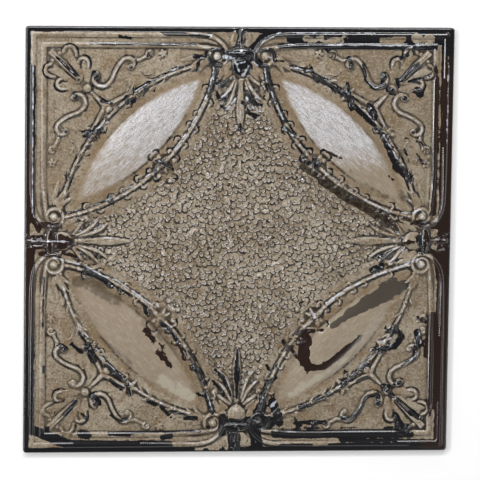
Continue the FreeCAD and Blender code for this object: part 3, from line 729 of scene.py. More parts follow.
# Places where the finish differs. Each stroke is: from x, from y, to x, to y, half width, strength.
wornStrokes = [
    # left rim and moulding
    (-294.6, 246, -294.6, 34, 4.6, 1), (-294, 34, -284, 16, 4.6, 0.9), (-296, 0, -296, -260, 6.5, 1),
    (-277.5, -52, -277.5, -126, 1.8, 0.65), (-276, -180, -276, -188, 2.4, 0.8),
    # top moulding, left half
    (-214, 281, -66, 280, 1.9, 0.8), (-172, 290, -156, 288, 3.4, 0.75), (-112, 296, -48, 291, 2.6, 0.7),
    (-196, 291, -150, 294, 1.4, 0.45), (-235, 288, -225, 288, 2, 0.5),
    # top middle: clasp, bell and volutes
    (-66, 263, -54, 262, 3.4, 1), (-60, 258, -62, 243, 2, 0.95), (-50, 268, -44, 256, 2.6, 1),
    (-44, 254, -30, 252, 2.6, 1), (-42, 272, -26, 272, 2.4, 1), (-25, 268, -25, 258, 2, 0.9),
    (-20, 265, 15, 266, 6, 1), (-1, 249, 5, 249, 11.5, 1), (-8, 258, 12, 258, 5, 1), (20, 262, 28, 250, 4, 1),
    (17, 276, 28, 290, 4.6, 0.95), (28, 290, 60, 296, 4, 0.9), (-6, 276, -2, 294, 3, 0.85),
    (26, 271, 44, 272, 2.4, 1), (46, 269, 49, 257, 2.4, 0.95), (49, 257, 60, 256, 1.6, 0.8),
    (26, 254, 34, 250, 2.4, 0.9), (-38, 250, -38, 224, 3.4, 1), (-37, 227, -27, 221, 2.4, 1),
    (-27, 221, -19, 232, 2.2, 0.95), (-42, 222, -47, 208, 2.6, 0.9), (-34, 212, -29, 202, 2, 0.95),
    (-29, 201, -18, 205, 2, 0.95), (-28, 193, -18, 186, 1.8, 0.95), (-14, 214, -22, 202, 1.6, 0.9),
    (8, 214, 15, 199, 2.2, 0.95), (15, 198, 30, 194, 2.4, 0.95), (5, 198, 11, 184, 2.4, 0.95),
    (11, 183, 26, 179, 2.8, 1), (-1, 166, 0, 158, 2.6, 0.95), (14, 180, 22, 176, 2.4, 0.8),
    # top moulding, right half
    (30, 300, 200, 297, 5, 1), (56, 278.5, 276, 277, 3.9, 1), (72, 290, 292, 289, 8.5, 1),
    (60, 294, 92, 292, 2.4, 0.6), (236, 291, 243, 286, 4.5, 0.9), (200, 300, 296, 299, 4, 0.9),
    (286, 292, 296, 284, 5, 0.9), (180, 283, 190, 296, 3, 0.8),
    # right moulding, dark from top to bottom
    (295.5, 282, 295.5, 0, 9.5, 1), (279.5, 232, 279.5, 40, 4.6, 0.78), (276, 250, 276, 60, 1.6, 0.55),
    (295, 0, 295, -294, 9.5, 1), (283, -112, 283, -236, 8.5, 1), (276, -124, 272, -166, 4, 0.9),
    (279, -240, 279, -252, 3.5, 0.9), (284, -20, 290, -60, 5, 0.8),
    # bottom moulding
    (-296, -270, -240, -292, 7, 1), (-240, -291, -96, -293, 5.2, 1), (-222, -277, -214, -279, 6, 1),
    (-184, -275.5, -52, -274, 1.7, 0.95), (-182, -277, -154, -279, 2.8, 1), (-106, -283, -94, -282, 4, 0.95),
    (-96, -302, -20, -302, 2.6, 0.8), (56, -281, 252, -281, 5, 1), (52, -276, 250, -275, 2, 1),
    (66, -299, 296, -298, 6, 1), (150, -289, 290, -290, 2.8, 0.75), (270, -292, 290, -294, 4, 1),
    # bottom middle
    (-20, -254, -20, -278, 5.4, 1), (-12, -262, 16, -263, 5, 1), (-6, -276, -4, -296, 7, 1),
    (18, -262, 48, -262, 9, 1), (26, -274, 30, -294, 8.6, 1), (32, -248, 36, -240, 8, 1),
    (38, -241, 36, -222, 3.4, 1), (36, -222, 44, -203, 3, 0.95), (44, -203, 58, -198, 2.2, 0.9),
    (52, -232, 62, -262, 6.5, 1), (84, -264, 128, -262, 3.6, 0.85), (84, -256, 90, -268, 2.2, 0.9),
    (0, -156, 0, -172, 1.8, 1), (0, -172, 0, -186, 3.2, 1), (0, -184, 0, -200, 4.8, 1),
    (0, -200, 0, -226, 2.4, 0.95), (-32, -185, -20, -197, 2.8, 0.95), (-20, -197, -9, -222, 2, 0.95),
    (-34, -201, -18, -223, 1.8, 0.9), (22, -184, 9, -203, 1.5, 0.8), (66, -272, 122, -271, 2.4, 0.7),
    (150, -270, 176, -270, 2, 0.7),
    # corner at the upper right
    (226, 231, 252, 253, 2.8, 1), (240, 228, 268, 237, 2.6, 0.95), (252, 216, 257, 210, 5.4, 0.95),
    (228, 262, 238, 266, 2.6, 0.9), (174, 252, 178, 232, 2.2, 0.7), (178, 230, 190, 219, 2.2, 0.75),
    (190, 219, 205, 224, 2.8, 0.8), (202, 226, 204, 240, 3.4, 0.8), (152, 262, 162, 246, 3.6, 0.6),
    (214, 214, 211, 216, 4.4, 1), (222, 232, 226, 220, 2.8, 0.8), (258, 186, 266, 176, 4, 0.5),
    (118, 276, 124, 270, 3, 0.8), (176, 268, 186, 258, 3, 0.6),
    # outer garland at the upper right
    (70, 251, 104, 241, 2.2, 0.7), (98, 252, 109, 226, 2, 0.9), (112, 232, 156, 204, 2.8, 0.85),
    (152, 226, 158, 188, 2.6, 0.9), (164, 190, 200, 156, 3.2, 0.85), (184, 194, 192, 178, 5, 0.9),
    (204, 150, 222, 110, 4.2, 0.85), (224, 106, 244, 90, 6.5, 0.85), (230, 150, 262, 138, 3, 0.5),
    (236, 130, 244, 112, 3, 0.6), (214, 92, 224, 84, 3, 0.7), (252, 128, 262, 112, 3, 0.55),
    # inner garland at the upper right
    (36, 246, 39, 220, 3.4, 1), (42, 216, 49, 198, 2.4, 0.85), (55, 186, 62, 172, 2.2, 0.8),
    (64, 160, 78, 150, 2.2, 0.7), (108, 114, 109, 108, 5, 0.85), (88, 116, 98, 110, 3, 0.7),
    # middle of the right edge
    (262, 24, 290, 20, 4.5, 1), (262, 1, 271, -2, 8, 1), (240, -1, 258, -1, 2.4, 0.7),
    (200, -24, 222, -14, 3, 0.6), (192, -42, 206, -36, 4.5, 0.85), (262, -14, 282, -16, 4, 0.8),
    (244, 24, 262, 28, 3, 0.6),
    # middle of the left edge
    (-294, -1, -256, -1, 10, 1), (-256, -1, -248, -1, 7.5, 1), (-248, -1, -239, -1, 4, 1),
    (-280, 23, -256, 21, 4.5, 1), (-282, -18, -256, -20, 3.6, 0.85), (-250, -16, -232, -22, 3.2, 0.7),
    # upper left: garlands, scroll and rib
    (-76, 251, -104, 243, 1.6, 0.7), (-106, 240, -152, 214, 1.8, 0.75), (-100, 258, -110, 238, 1.6, 0.7),
    (-160, 198, -152, 200, 4, 0.9), (-140, 204, -134, 214, 1.8, 0.7), (-196, 200, -184, 196, 3.2, 0.75),
    (-228, 156, -196, 158, 2.8, 0.6), (-226, 148, -216, 150, 3, 0.6), (-208, 240, -204, 230, 4.6, 0.7),
    (-236, 212, -232, 202, 3.6, 0.6), (-262, 262, -232, 236, 1.8, 0.6), (-120, 116, -100, 108, 2.6, 0.5),
    (-186, 60, -176, 50, 4, 0.5), (-86, 184, -74, 176, 1.6, 0.6), (-98, 108, -92, 98, 3, 0.5),
    # lower left: beside the garlands, scroll, fan and its dot
    (-218, -44, -198, -50, 4.4, 0.85), (-198, -52, -180, -64, 3.6, 0.85), (-172, -68, -154, -78, 2.6, 0.6),
    (-134, -96, -128, -106, 4, 0.7), (-214, -150, -206, -170, 5.4, 1), (-236, -148, -222, -160, 3.6, 0.8),
    (-228, -132, -216, -146, 2.4, 0.6), (-188, -178, -164, -196, 2.4, 0.75), (-182, -200, -166, -214, 3.2, 0.7),
    (-158, -206, -152, -222, 1.8, 0.8), (-128, -231, -116, -236, 2.4, 0.95), (-108, -240, -94, -254, 2.4, 0.95),
    (-94, -248, -80, -250, 1.8, 0.7), (-74, -256, -58, -255, 3.2, 1), (-42, -268, -39, -269, 2.4, 0.9),
    (-108, -120, -96, -128, 2.8, 0.85), (-92, -134, -82, -152, 2.8, 0.85), (-80, -156, -76, -170, 2.6, 0.9),
    (-70, -158, -60, -172, 2.2, 0.6), (-62, -180, -56, -186, 4.4, 0.85), (-52, -190, -46, -206, 2.6, 0.85),
    (-46, -216, -35, -246, 3.2, 1), (-58, -220, -46, -224, 1.8, 0.9), (-271.5, -269, -270.5, -269.5, 3.2, 1),
    (-246, -248, -230, -228, 2.2, 0.9), (-266, -234, -248, -230, 1.6, 0.8), (-262, -244, -260, -250, 1.8, 0.7),
    (-206, -222, -198, -232, 5.4, 0.75), (-182, -250, -168, -258, 2.4, 0.9), (-168, -258, -156, -256, 2.2, 0.9),
    (-236, -190, -226, -202, 4, 0.45), (-252, -150, -244, -154, 3, 0.9), (-222, -248, -214, -256, 2.6, 0.6),
    (-240, -262, -230, -266, 1.6, 0.6), (-244, -184, -240, -194, 1.8, 0.7),
    # lower right: garland, corner and scroll
    (86, -132, 110, -130, 4, 0.85), (66, -144, 72, -156, 3, 0.75), (76, -154, 86, -168, 3.2, 0.8),
    (60, -168, 54, -184, 1.8, 0.8), (42, -178, 46, -186, 3.2, 0.8), (198, -158, 226, -153, 3.8, 1),
    (228, -152, 236, -138, 5.6, 1), (234, -134, 224, -126, 4.4, 1), (212, -126, 218, -130, 3, 0.8),
    (92, -240, 106, -237, 2.6, 0.8), (110, -232, 134, -220, 1.6, 0.7), (152, -208, 160, -200, 3.6, 0.9),
    (160, -200, 186, -178, 1.8, 0.7), (172, -202, 188, -196, 1.6, 0.8), (154, -186, 160, -194, 2.4, 0.7),
    (152, -256, 162, -258, 2.2, 0.9), (162, -258, 176, -248, 2.4, 0.9), (176, -248, 186, -228, 2.6, 0.9),
    (186, -226, 204, -222, 2.6, 0.85), (204, -224, 204, -236, 2.6, 0.9), (213, -211, 217, -213, 4.8, 1),
    (220, -218, 252, -251, 2, 0.95), (254, -248, 264, -256, 4, 1), (230, -252, 236, -266, 4.6, 1),
    (236, -268, 248, -270, 5, 1), (258, -132, 264, -150, 5, 1), (258, -152, 254, -170, 3.4, 0.95),
    (252, -172, 238, -180, 1.8, 0.8), (254, -108, 272, -118, 2.6, 0.8), (226, -208, 236, -204, 1.6, 0.8),
    (214, -174, 222, -200, 1.4, 0.6), (240, -228, 262, -236, 1.4, 0.6), (214, -272, 226, -270, 2.6, 0.8),
]

chipStrokes = [
    # paint gone down to dark brown, in smooth-edged chips
    (90, 106, 118, 88, 4.5, 1), (118, 86, 146, 68, 6.5, 1), (146, 68, 178, 50, 7.5, 0.9),
    (178, 50, 214, 24, 7, 0.75), (214, 40, 246, 28, 3, 0.6), (204, 44, 226, 16, 6, 0.6),
    (98, -142, 96, -168, 9, 1.1), (94, -168, 102, -182, 6, 1.5), (100, -184, 128, -180, 3.6, 1.5),
    (126, -180, 150, -162, 3.6, 1.5), (150, -160, 176, -140, 3.4, 1.1), (-130, -130, -118, -146, 7, 0.58),
    (-112, -160, -98, -178, 8, 0.62), (-104, -140, -90, -150, 3, 0.5), (-110, -156, -104, -150, 3, 0.8),
    (112, -130, 122, -128, 3, 0.7), (124, 128, 146, 118, 2, 0.9),
]

bareStrokes = [
    # smooth grey-brown metal on the lower right panel
    (136, -122, 160, -106, 4.2, 1), (158, -105, 184, -92, 7, 1), (184, -90, 214, -76, 11, 1),
    (214, -78, 238, -64, 8, 1), (206, -66, 226, -58, 6, 0.8), (132, -134, 142, -128, 1.8, 0.6),
]

smudgeStrokes = [
    # thin grey where the dark ground shows through
    (-52, 165, -22, 112, 15, 0.4), (-60, -108, -36, -168, 13, 0.45), (2, -132, 4, -150, 18, 0.38),
    (40, 172, 60, 140, 9, 0.35), (76, -118, 56, -150, 9, 0.4), (-228, -58, -196, -62, 10, 0.9),
    (-206, -68, -172, -86, 8, 0.85), (-196, -138, -152, -176, 3, 0.9), (-184, -100, -178, -108, 3, 0.5),
    (154, 104, 172, 92, 2.6, 0.7), (178, 84, 212, 62, 3.4, 0.85), (-136, -104, -84, -156, 12, 0.55),
    (229, 72, 246, 52, 5, 0.8), (232, 60, 246, 54, 5, 0.7), (212, 110, 206, 96, 3, 0.5),
]

keptStrokes = [
    # paint that stays on the rim and the mouldings
    (-60, -300, -14, -300, 4.5, 1), (-84, -290, -20, -290, 6, 1), (112, -294, 142, -294, 2.6, 1),
    (92, 289, 146, 288, 7, 1), (202, 288, 230, 287, 6, 1), (249, 290, 270, 289, 7, 1),
]

glintStrokes = [
    # narrow painted highlights: bright reflections laid into the colour along crests and beads
    (-294, 250, -294, 40, 0.9, 1), (-294, 40, -284, 20, 0.9, 0.9), (-278, 205, -278, 60, 0.6, 0.5),
    (-40, 240, -46, 213, 1.2, 1), (-48, 208, -60, 183, 1.3, 1), (-63, 178, -74, 158, 1.3, 1),
    (-78, 152, -94, 130, 1.2, 1), (-128, 96, -142, 86, 1.1, 0.9), (-146, 83, -172, 68, 1.1, 0.9),
    (-178, 64, -194, 56, 1.1, 0.9), (-198, 54, -248, 39, 1, 0.9), (-216, 152, -188, 170, 1, 0.9),
    (-80, 250, -102, 242, 0.9, 0.9), (-108, 238, -126, 229, 0.9, 0.9), (-130, 226, -150, 213, 0.9, 0.9),
    (-202, 222, -190, 220, 1.2, 0.9), (-190, 221, -176, 238, 1, 0.8), (-270, 277, -264, 271, 2, 0.7),
    (-256, 257, -238, 239, 0.8, 0.8), (-198, 280.4, -69, 280, 0.7, 0.9), (-76, 297, -40, 293, 1, 0.9),
    (-260, 168, -252, 158, 1, 0.7), (-110, 112, -100, 100, 1.2, 0.7),
    # top middle
    (-14, 268.6, 8, 269, 0.9, 0.9), (-9, 256, -3, 242, 1.8, 0.95), (10.5, 250, 2, 236, 1.8, 0.95),
    (-3, 254, 4, 256, 1.5, 0.8), (-35, 262, -31, 262, 3.6, 0.5), (-24, 263, -15, 261, 3, 0.85),
    (-39, 247, -39, 231, 1.2, 0.9), (33, 246, 37, 226, 1.2, 0.95), (-27, 206, -15, 216, 1.4, 0.95),
    (-20, 188, -7, 203, 1.6, 0.95), (11, 222, 18, 209, 1.1, 0.95), (18, 209, 31, 199, 1.3, 0.95),
    (8, 205, 15, 192, 1.3, 0.95), (15, 192, 27, 185, 1.5, 0.95), (0, 196, 0, 172, 0.8, 0.9),
    (32, 266, 42, 262, 1.8, 0.8), (22, 270, 30, 284, 1.1, 0.9), (30, 284, 52, 295, 1.2, 0.9),
    (18, 255, 24, 250, 1.2, 0.8),
    # upper right
    (52, 296.5, 190, 297.5, 0.8, 0.85), (58, 280.4, 270, 279.4, 0.8, 0.95), (296, 272, 296, 140, 1.5, 0.7),
    (290, 255, 290, 150, 0.8, 0.6), (43, 214, 49, 198, 1.2, 1), (52, 192, 60, 175, 1.3, 1),
    (63, 160, 76, 150, 1.2, 1), (85, 138, 95, 128, 1.2, 1), (60, 250, 98, 243, 0.9, 0.9),
    (114, 236, 136, 229, 1, 0.9), (140, 226, 156, 208, 1, 0.9), (166, 196, 196, 168, 1, 0.9),
    (205, 152, 229, 112, 1.2, 0.9), (122, 98, 152, 79, 0.9, 0.95), (152, 79, 178, 61, 0.9, 0.95),
    (178, 61, 216, 41, 1, 1), (216, 41, 256, 40, 1, 1), (252, 43, 260, 46, 1.2, 0.9),
    (260, 46, 267, 38, 1.2, 0.9), (178, 232, 190, 220, 1, 0.8), (192, 219, 203, 224, 1.2, 0.8),
    (228, 232, 248, 250, 0.8, 0.8), (236, 134, 250, 128, 1.2, 0.7), (106, 116, 111, 108, 1, 0.8),
    # left and right middles, bottom middle
    (-232, 6, -190, 5, 0.8, 0.8), (-190, 5, -172, 3, 0.8, 0.9), (-228, -1, -180, 1, 0.8, 0.7),
    (-228, 14, -200, 33, 1, 0.7), (-222, 10, -190, 25, 1, 0.7), (-222, -8, -197, -25, 1, 0.7),
    (176, 3, 250, 5, 0.8, 0.7), (228, -8, 206, -26, 1.5, 0.85), (238, -10, 216, -32, 1.5, 0.85),
    (240, 14, 204, 40, 0.9, 0.7), (24, -181, 8, -205, 1.4, 0.85), (26, -203, 16, -215, 1.4, 0.8),
    (-31, -181, -21, -191, 1, 0.7), (3, -160, 4, -190, 0.7, 0.8),
    # lower left
    (-264, -23, -222, -34, 1.3, 1), (-221, -34, -197, -47, 1.3, 1), (-195, -49, -174, -56, 1.3, 1),
    (-172, -57, -148, -73, 1.3, 1), (-146, -75, -118, -95, 1.3, 0.95), (-100, -92, -92, -98, 1.6, 0.9),
    (-101, -122, -82, -141, 1.1, 0.9), (-80, -144, -62, -181, 1, 0.9), (-44, -216, -35, -244, 1.2, 0.9),
    (-251, -62, -241, -94, 1, 0.9), (-240, -97, -224, -123, 1.1, 0.9), (-222, -126, -204, -151, 1, 0.9),
    (-202, -154, -189, -172, 1, 0.9), (-186, -175, -163, -195, 1, 0.9), (-160, -198, -138, -217, 1, 0.9),
    (-134, -220, -105, -235, 1, 0.9), (-193, -137, -152, -175, 1.8, 0.5), (-294, 0, -240, 0, 0.9, 0.95),
    (-266, 9, -266, -13, 0.8, 0.85), (-256, -156, -262, -172, 1, 0.7),
    # lower right
    (246, -30, 224, -41, 1.8, 1), (222, -42, 194, -50, 1.4, 1), (176, -60, 152, -71, 1.8, 0.95),
    (148, -74, 127, -89, 1.6, 0.95), (250, -30, 258, -26, 1.6, 0.95), (258, -26, 266, -34, 1.6, 0.95),
    (256, -34, 261, -38, 1.4, 0.9), (33, -262, 22, -257, 1.2, 0.8), (24, -276, 29, -292, 1.1, 0.7),
    (31, -242, 38, -224, 1, 0.9), (50, -240, 60, -230, 1.4, 0.95), (206, -146, 222, -140, 2, 0.85),
    (220, -152, 234, -138, 1.3, 0.8), (193, -165, 163, -196, 1.1, 0.9), (150, -208, 128, -225, 0.9, 0.8),
    (126, -227, 104, -238, 0.9, 0.8), (152, -254, 164, -256, 1, 0.8), (164, -256, 176, -244, 1.2, 0.85),
    (176, -243, 188, -224, 1.2, 0.85), (222, -222, 250, -248, 0.8, 0.8), (262, -132, 266, -160, 1, 0.75),
    (258, -165, 240, -182, 1.2, 0.85), (108, -104, 112, -110, 1.8, 0.8),
]

freshStrokes = [
    # paler paint, brushed
    (78, -222, 118, -196, 6, 1), (118, -196, 156, -170, 4, 0.8), (-106, -200, -68, -224, 9, 1),
    (-150, -186, -126, -214, 5, 0.7), (-136, -206, -80, -238, 4, 0.6), (-284, 250, -284, 40, 3.5, 0.5),
    (262, -190, 254, -240, 9, 0.5), (272, 150, 270, 60, 4, 0.6), (220, -90, 244, -76, 5, 0.6),
    (-60, -300, -16, -286, 6, 0.6), (80, 290, 146, 288, 5, 0.5), (-290, -270, -286, -290, 3, 0.3),
]

brownSides = [
    # where the dark ground is brown rather than black
    (292, 240, 292, -290, 26, 1), (-300, 130, -300, -120, 14, 0.9), (-262, 20, -262, -10, 34, 0.8),
    (220, 90, 250, 60, 24, 0.5), (150, 70, 230, 20, 30, 1), (-110, -160, -90, -175, 26, 1),
    (100, -150, 150, -165, 34, 1),
]


wearing = {
    "relief": 0.68,           # how far raised work is worn of itself
    "lowerSpared": 0.35,      # and how much less on the lower half
    "rim": (8.6, 6.6),        # inset over which the bare rim ends
    "keptShare": 0.9,         # how much of the wear the kept patches hold off
    "keptFrom": (0.36, 0.56),
    "most": 1.6,
    "paintedSheenRight": (0.15, 0.8, 70, 150),     # at the bottom, added upwards, from and to which height
    "paintedSheenLeft": (0.55, 0.4, 60, 190),
    "dotsFrom": (31, 34),     # inset at which the dotted ground starts
}


def strokes(places, soft=2.6):
    # how strongly each place of the tile is covered by a list of strokes
    total = np.zeros(tileX.shape)
    for x0, y0, x1, y1, halfWide, strength in places:
        reach = halfWide + soft + 1
        c0 = np.searchsorted(tileX[0], min(x0, x1) - reach)
        c1 = np.searchsorted(tileX[0], max(x0, x1) + reach)
        r0 = np.searchsorted(tileY[:, 0], min(y0, y1) - reach)
        r1 = np.searchsorted(tileY[:, 0], max(y0, y1) + reach)
        x, y = tileX[r0:r1, c0:c1], tileY[r0:r1, c0:c1]
        dx, dy = x1 - x0, y1 - y0
        along = np.clip(((x - x0) * dx + (y - y0) * dy) / max(dx * dx + dy * dy, 1e-6), 0, 1)
        off = np.hypot(x - x0 - along * dx, y - y0 - along * dy)
        cover = strength * smooth(halfWide + soft, halfWide - soft, off)
        total[r0:r1, c0:c1] = np.maximum(total[r0:r1, c0:c1], cover)
    return total


zoneMap = strokes(wornStrokes)
chipMap = strokes(chipStrokes, 3.4)
bareMetalMap = strokes(bareStrokes, 1.6)
smudgeMap = strokes(smudgeStrokes, 3.0)
freshMap = strokes(freshStrokes, 5.0)
brownMap = strokes(brownSides, 14.0)
glintMap = strokes(glintStrokes, 0.9)
rimMap = smooth(*wearing["rim"], insetMap)
paintedPatch = smooth(*wearing["keptFrom"], strokes(keptStrokes, 4.0) * (0.66 + 0.95 * wander(12.0, 31)))
bareMap = bareMap * (1 - wearing["lowerSpared"] * smooth(60, -60, tileY))
wearMap = wearing["relief"] * bareMap + (zoneMap + rimMap) * (1 - wearing["keptShare"] * paintedPatch)
wearMap = np.clip(wearMap, 0, wearing["most"])


def fading(base, added, low, high):
    return base + added * smooth(low, high, tileY)


# painted sheen: the pale silvery reflection laid on the two upper panels fades downwards
paintedSheenMap = panelMap * smooth(-10, 60, tileY) * np.where(tileX > 0, fading(*wearing["paintedSheenRight"]),
                                                         fading(*wearing["paintedSheenLeft"]))
stippleMap = ((1 - inField) * (1 - smooth(0, 0.4, panelMap)) * smooth(*wearing["dotsFrom"], insetMap)
              * smooth(0.5, 0.15, relief))
print("worn places laid out")


def largestError(values, level):
    # how far a map leaves a flat cell of this level
    size = 2 ** (sheet["divisions"] + 1 - level)
    count = fineCells // size
    at = np.arange(count) * size
    c00, c01 = values[np.ix_(at, at)], values[np.ix_(at, at + size)]
    c10, c11 = values[np.ix_(at + size, at)], values[np.ix_(at + size, at + size)]
    error = np.zeros((count, count))
    for i in range(size + 1):
        for j in range(size + 1):
            s, t = i / size, j / size
            flat = c00 * (1 - s) * (1 - t) + c10 * s * (1 - t) + c01 * (1 - s) * t + c11 * s * t
            error = np.maximum(error, np.abs(values[np.ix_(at + i, at + j)] - flat))
    return error


def divideCells(errors, limit):
    # a cell is divided where the relief, or a mask, bends too much for it
    split = []
    for level, error in enumerate(errors):
        wanted = error > limit
        wanted[[0, -1], :] = level < 2
        wanted[:, [0, -1]] = level < 2
        split.append(wanted)
    for level in range(len(split) - 1, 0, -1):     # neighbours differ by one level at most
        fine = split[level]
        beside = fine.copy()
        beside[1:] |= fine[:-1]
        beside[:-1] |= fine[1:]
        beside[:, 1:] |= fine[:, :-1]
        beside[:, :-1] |= fine[:, 1:]
        count = beside.shape[0] // 2
        split[level - 1] |= beside.reshape(count, 2, count, 2).any((1, 3))
    return split


def cellTriangles(split, values):
    # two triangles in each undivided cell, or a fan of them where a neighbour is finer
    flatValues = values.ravel()
    triangles = []
    for level in range(len(split) + 1):
        size = 2 ** (sheet["divisions"] + 1 - level)
        count = fineCells // size
        exists = np.ones((count, count), bool)
        if level:
            exists = np.repeat(np.repeat(split[level - 1], 2, 0), 2, 1)
        divided = split[level] if level < len(split) else np.zeros((count, count), bool)
        padded = np.zeros((count + 2, count + 2), bool)
        padded[1:-1, 1:-1] = divided
        i, j = np.nonzero(exists & ~divided)
        beside = np.stack([padded[i, j + 1], padded[i + 1, j + 2], padded[i + 2, j + 1], padded[i + 1, j]])
        base = i * size * pointsAcross + j * size
        up = size * pointsAcross
        corners = [base, base + size, base + up + size, base + up]
        centre = base + (up + size) // 2
        plain = ~beside.any(0)
        a, b, c, d = [corner[plain] for corner in corners]
        middle = flatValues[centre[plain]]
        firstWay = (np.abs(flatValues[a] + flatValues[c] - 2 * middle)
                    < np.abs(flatValues[b] + flatValues[d] - 2 * middle))[:, None]
        triangles.append(np.where(firstWay, np.stack([a, b, c], 1), np.stack([a, b, d], 1)))
        triangles.append(np.where(firstWay, np.stack([a, c, d], 1), np.stack([b, c, d], 1)))
        for k in range(4):
            first, last = corners[k], corners[(k + 1) % 4]
            finer = beside[k] & ~plain
            same = ~beside[k] & ~plain
            halfway = (first + last) // 2
            for start, end, chosen in ((first, last, same), (first, halfway, finer), (halfway, last, finer)):
                triangles.append(np.stack([centre, start, end], 1)[chosen])
    return np.concatenate(triangles)


def meshWithin(values, masks, levels, budget):
    # the finest division that keeps to a number of triangles
    errors = []
    for level in range(levels):
        error = largestError(values, level)
        for mask, weight in masks:
            error = np.maximum(error, weight * largestError(mask, level))
        errors.append(error)
    low, high = 0.0, 3.0
    for halving in range(14):
        limit = (low + high) / 2
        triangles = cellTriangles(divideCells(errors, limit), values)
        if len(triangles) > budget:
            low = limit
        else:
            high = limit
            best = triangles
    print("relief kept within %.2f mm by %d triangles" % (high, len(best)))
    return best


def gridPlace(rowsAt, columnsAt):
    return (columnsAt - halfCount) * fineStep, (rowsAt - halfCount) * fineStep


def loopOf(size):
    # the outline of the patterned face: rows and columns of the fine grid, a cell's size apart
    at = np.arange(0, fineCells, size)
    top = np.zeros_like(at)
    side = np.full_like(at, fineCells)
    return (np.concatenate([top, at, side, side - at]), np.concatenate([at, side, side - at, top]))


# pebbles count for less than other relief, and each mask as so many millimetres of it
measured = np.where(inField > 0.5, plainRelief + 0.35 * (relief - plainRelief), relief)
maskWeights = [(wearMap, 0.22), (glintMap, 0.36), (chipMap, 0.5), (bareMetalMap, 0.5), (crestAndShadeMap, 0.25)]
frontTriangles = meshWithin(measured, maskWeights, 3, sheet["frontTriangles"])
backTriangles = meshWithin(backRelief, [], 2, sheet["backTriangles"])


def gather(triangles, levels):
    # the grid points that triangles use, the triangles by their own count, and the places of the points
    used, index = np.unique(triangles, return_inverse=True)
    r, c = used // pointsAcross, used % pointsAcross
    x, y = gridPlace(r, c)
    z = levels[r, c] + sheet["groundLevel"]
    return used, index.reshape(triangles.shape), np.stack([x, y, z], 1)


frontUsed, frontFaces, frontPoints = gather(frontTriangles, relief)
backUsed, backFaces, backPoints = gather(backTriangles, backRelief)


def edgeRing(outward, level):
    # the face's outline moved outward and set at a level, with its corners rounded
    x, y = gridPlace(loopRows, loopColumns)
    reach = fieldHalf + outward
    x, y = x * reach / fieldHalf, y * reach / fieldHalf
    radius = sheet["cornerRadius"] - (sheet["rollRadius"] - outward)
    if radius > 0:
        qx, qy = np.abs(x) - (reach - radius), np.abs(y) - (reach - radius)
        both = (qx > 0) & (qy > 0)
        size = np.maximum(qx, qy)
        length = np.maximum(np.hypot(qx, qy), 1e-9)
        x = np.where(both, np.sign(x) * (reach - radius + qx * size / length), x)
        y = np.where(both, np.sign(y) * (reach - radius + qy * size / length), y)
    return np.stack([x, y, np.full(x.shape, level)], 1)


def sheetRings():
    # over the roll, down the edge, round its foot and up again on the inside
    ground, roll, gauge = sheet["groundLevel"], sheet["rollRadius"], sheet["gauge"]
    foot = 0.25
    places = []
    for k in range(1, sheet["rollSteps"] + 1):
        share = k / sheet["rollSteps"]
        turn = math.pi / 2 * k / sheet["rollSteps"]
        places.append((roll * math.sin(turn),
                       ground - sheet["dentDepth"] * (1 - share) - roll * (1 - math.cos(turn))))
    places += [(roll, foot), (roll - 0.2, 0.0), (roll - gauge * 0.8, 0.0), (roll - gauge, foot),
               (roll - gauge, ground - roll), (roll * 0.7 - gauge, ground - roll * 0.3 - gauge - 0.2)]
    return [edgeRing(outward, level) for outward, level in places]


loopRows, loopColumns = loopOf(4)
rings = sheetRings()
loopKeys = loopRows * pointsAcross + loopColumns
frontLoop = np.searchsorted(frontUsed, loopKeys)
backLoop = np.searchsorted(backUsed, loopKeys) + len(frontPoints)
points = [frontPoints, backPoints] + rings
starts = [len(frontPoints) + len(backPoints) + k * len(loopKeys) for k in range(len(rings))]
loops = [frontLoop] + [start + np.arange(len(loopKeys)) for start in starts] + [backLoop]
bands = []
for upper, lower in zip(loops[:-1], loops[1:]):
    after, below = np.roll(upper, -1), np.roll(lower, -1)
    bands.append(np.stack([upper, after, below], 1))
    bands.append(np.stack([upper, below, lower], 1))
points = np.concatenate(points) / 1000.0
faces = np.concatenate([frontFaces, backFaces[:, ::-1] + len(frontPoints)] + [b[:, ::-1] for b in bands])
print("triangles: front %d, back %d, edge %d" % (len(frontFaces), len(backFaces), sum(len(b) for b in bands)))

mesh = bpy.data.meshes.new("pressedSheet")
mesh.vertices.add(len(points))
mesh.vertices.foreach_set("co", points.astype(np.float32).ravel())
mesh.loops.add(faces.size)
mesh.loops.foreach_set("vertex_index", faces.astype(np.int32).ravel())
mesh.polygons.add(len(faces))
mesh.polygons.foreach_set("loop_start", np.arange(0, faces.size, 3, dtype=np.int32))
mesh.polygons.foreach_set("use_smooth", np.ones(len(faces), bool))
mesh.update(calc_edges=True)
mesh.validate()

edgeCount = len(points) - len(frontPoints) - len(backPoints)


def addMask(name, values, edgeValue):
    layer = mesh.attributes.new(name, "FLOAT", "POINT")
    face = values[frontUsed // pointsAcross, frontUsed % pointsAcross]
    data = np.concatenate([face, np.zeros(len(backPoints)), np.full(edgeCount, edgeValue)])
    layer.data.foreach_set("value", data.astype(np.float32))


edgeValues = {"wear": 1.25, "brown": 0.3, "face": 1.0}     # on the turned-down edge; others are nought
faceMaps = {
    "wear": wearMap, "crestAndShade": crestAndShadeMap, "ochre": ochreMap, "paintedSheen": paintedSheenMap, "panel": panelMap,
    "chip": chipMap, "bareMetal": bareMetalMap, "smudge": smudgeMap, "brown": brownMap, "fresh": freshMap,
    "glint": glintMap, "pebble": inField, "stipple": stippleMap, "face": np.ones(relief.shape),
}
for name, values in faceMaps.items():
    addMask(name, values, edgeValues.get(name, 0.0))


